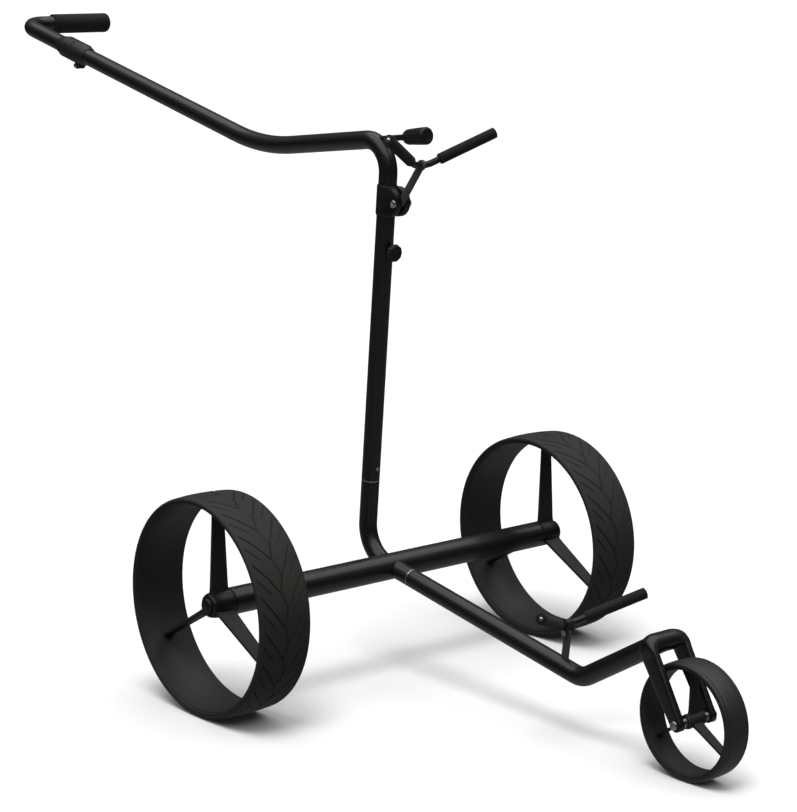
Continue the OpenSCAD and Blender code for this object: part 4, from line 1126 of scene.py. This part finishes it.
class TROLLEY_OT_kept_parts(Maker, bpy.types.Operator):
    """Gives their finishes to the parts that keep their own shape"""

    bl_idname = "trolley.kept_parts"
    bl_label = "Small parts"

    kept = {
        "alloy": ["mast_plug", "nose_plug"],
        "steel": ["mast_snap_clip", "nose_snap_clip", "collar_screw", "lower_hinge_pin"],
        "dull_steel": ["axle_insert_right", "axle_insert_left", "swivel_plug", "knob_stud",
                       "front_bearings", "axle_pin_right", "axle_pin_left", "bearings_right",
                       "bearings_left", "bearing_spacer_right", "bearing_spacer_left"],
        "rod": ["corner_stud"],
        "moulded": ["lower_hinge_block"],
    }

    def make(self, sizes):
        for name, nodes in self.kept.items():
            for node in nodes:
                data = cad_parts[node].data
                data.materials.clear()
                data.materials.append(finish(name))


class TROLLEY_OT_stage(Maker, bpy.types.Operator):
    """Makes the pale floor, the soft light from above, the white room and the camera"""

    bl_idname = "trolley.stage"
    bl_label = "Stage"

    def make(self, sizes):
        scene = bpy.context.scene
        stage = scene.trolley_stage
        self.floor(scene, stage)
        self.lights(scene, stage)
        self.room(scene, stage)
        self.camera(scene)
        scene.view_settings.view_transform = "Standard"

    def floor(self, scene, stage):
        mesh = bpy.data.meshes.new("floor")
        reach = 60.0
        mesh.from_pydata([(-reach, -reach, 0), (reach, -reach, 0), (reach, reach, 0),
                          (-reach, reach, 0)], [], [(0, 1, 2, 3)])
        f = Finish("floor_paper", Specular_IOR_Level=0.1)
        tone = f.patches(3.0)
        f.colour(f.tones(tone, stage.floor, 1.0, 1.02))
        f.roughness(0.85, tone, 0.1)
        mesh.materials.append(f.mat)
        floor = bpy.data.objects.new("floor", mesh)
        scene.collection.objects.link(floor)
        floor.visible_diffuse = False
        floor.visible_glossy = False

    def lights(self, scene, stage):
        for name, power, spread, tilt, glossy in (
            ("soft_dome", stage.dome, 100, (-6, 4), True),
            ("key", stage.key, 26, (-10, 16), False),
        ):
            data = bpy.data.lights.new(name, "SUN")
            data.energy = power
            data.angle = math.radians(spread)
            lamp = bpy.data.objects.new(name, data)
            lamp.rotation_euler = (math.radians(tilt[0]), math.radians(tilt[1]), 0)
            lamp.visible_glossy = glossy
            scene.collection.objects.link(lamp)

    def room(self, scene, stage):
        """White behind the object; on it, light from above and below and little from the sides."""
        world = bpy.data.worlds.new("room")
        world.use_nodes = True
        scene.world = world
        tree = world.node_tree
        tree.nodes.clear()
        seen = tree.nodes.new("ShaderNodeBackground")
        seen.inputs["Color"].default_value = (1, 1, 1, 1)
        lit = tree.nodes.new("ShaderNodeBackground")
        lit.inputs["Strength"].default_value = stage.fill
        ray = tree.nodes.new("ShaderNodeTexCoord")
        split = tree.nodes.new("ShaderNodeSeparateXYZ")
        height = tree.nodes.new("ShaderNodeMapRange")
        ramp = tree.nodes.new("ShaderNodeValToRGB")
        height.inputs["From Min"].default_value = -1.0
        bands = ramp.color_ramp.elements
        bands[0].color = (1, 1, 1, 1)
        bands[1].color = (0.55, 0.57, 0.6, 1)
        for place, tone in ((0.30, 0.6), (0.46, 0.08), (0.60, 0.06), (0.74, 0.30)):
            bands.new(place).color = (tone, tone, tone * 1.04, 1)
        tree.links.new(ray.outputs["Generated"], split.inputs[0])
        tree.links.new(split.outputs[2], height.inputs["Value"])
        tree.links.new(height.outputs[0], ramp.inputs[0])
        tree.links.new(ramp.outputs[0], lit.inputs["Color"])
        path = tree.nodes.new("ShaderNodeLightPath")
        mixed = tree.nodes.new("ShaderNodeMixShader")
        out = tree.nodes.new("ShaderNodeOutputWorld")
        tree.links.new(path.outputs["Is Camera Ray"], mixed.inputs[0])
        tree.links.new(lit.outputs[0], mixed.inputs[1])
        tree.links.new(seen.outputs[0], mixed.inputs[2])
        tree.links.new(mixed.outputs[0], out.inputs[0])

    def camera(self, scene):
        """At the height of a standing person's waist, to the front and the right."""
        data = bpy.data.cameras.new("camera")
        data.lens = 103.55
        data.sensor_width = 36.0
        data.clip_end = 200.0
        camera = bpy.data.objects.new("camera", data)
        ahead = Vector((-0.63066, -0.75093, -0.19590)).normalized()
        up = Vector((-0.12517, -0.15069, 0.98062))
        right = ahead.cross(up).normalized()
        up = right.cross(ahead)
        turn = Matrix((right, up, -ahead)).transposed().to_4x4()
        camera.matrix_world = Matrix.Translation((1.9745, AXLE[1] + 2.3659, 0.9831)) @ turn
        scene.collection.objects.link(camera)
        scene.camera = camera


OPERATORS = (
    TROLLEY_OT_frame_tubes,
    TROLLEY_OT_fork,
    TROLLEY_OT_rear_tyres,
    TROLLEY_OT_rear_rims,
    TROLLEY_OT_release_buttons,
    TROLLEY_OT_front_wheel,
    TROLLEY_OT_grip,
    TROLLEY_OT_swivel_collars,
    TROLLEY_OT_bracket,
    TROLLEY_OT_supports,
    TROLLEY_OT_knobs,
    TROLLEY_OT_fasteners,
    TROLLEY_OT_kept_parts,
    TROLLEY_OT_stage,
)


class TROLLEY_PT_pieces(bpy.types.Panel):
    """Lists the trolley's pieces with their sizes, colours and light"""

    bl_idname = "TROLLEY_PT_pieces"
    bl_label = "Golf trolley"
    bl_space_type = "VIEW_3D"
    bl_region_type = "UI"
    bl_category = "Trolley"

    def draw(self, context):
        for settings in ("trolley_sizes", "trolley_looks", "trolley_stage"):
            group = getattr(context.scene, settings)
            box = self.layout.box()
            for name in group.__annotations__:
                box.prop(group, name)
        for operator in OPERATORS:
            self.layout.operator(operator.bl_idname)


GROUPS = {"trolley_sizes": TrolleySizes, "trolley_looks": TrolleyLooks,
          "trolley_stage": TrolleyStage}


def register():
    for group in GROUPS.values():
        bpy.utils.register_class(group)
    for name, group in GROUPS.items():
        setattr(bpy.types.Scene, name, PointerProperty(type=group))
    for operator in OPERATORS:
        bpy.utils.register_class(operator)
    bpy.utils.register_class(TROLLEY_PT_pieces)


def unregister():
    bpy.utils.unregister_class(TROLLEY_PT_pieces)
    for operator in reversed(OPERATORS):
        bpy.utils.unregister_class(operator)
    for name in GROUPS:
        delattr(bpy.types.Scene, name)
    for group in reversed(GROUPS.values()):
        bpy.utils.unregister_class(group)


def main():
    """Makes every piece."""
    register()
    for operator in OPERATORS:
        call = operator.bl_idname.split(".")[1]
        getattr(bpy.ops.trolley, call)()
    bpy.context.view_layer.update()


if __name__ == "__main__":
    main()
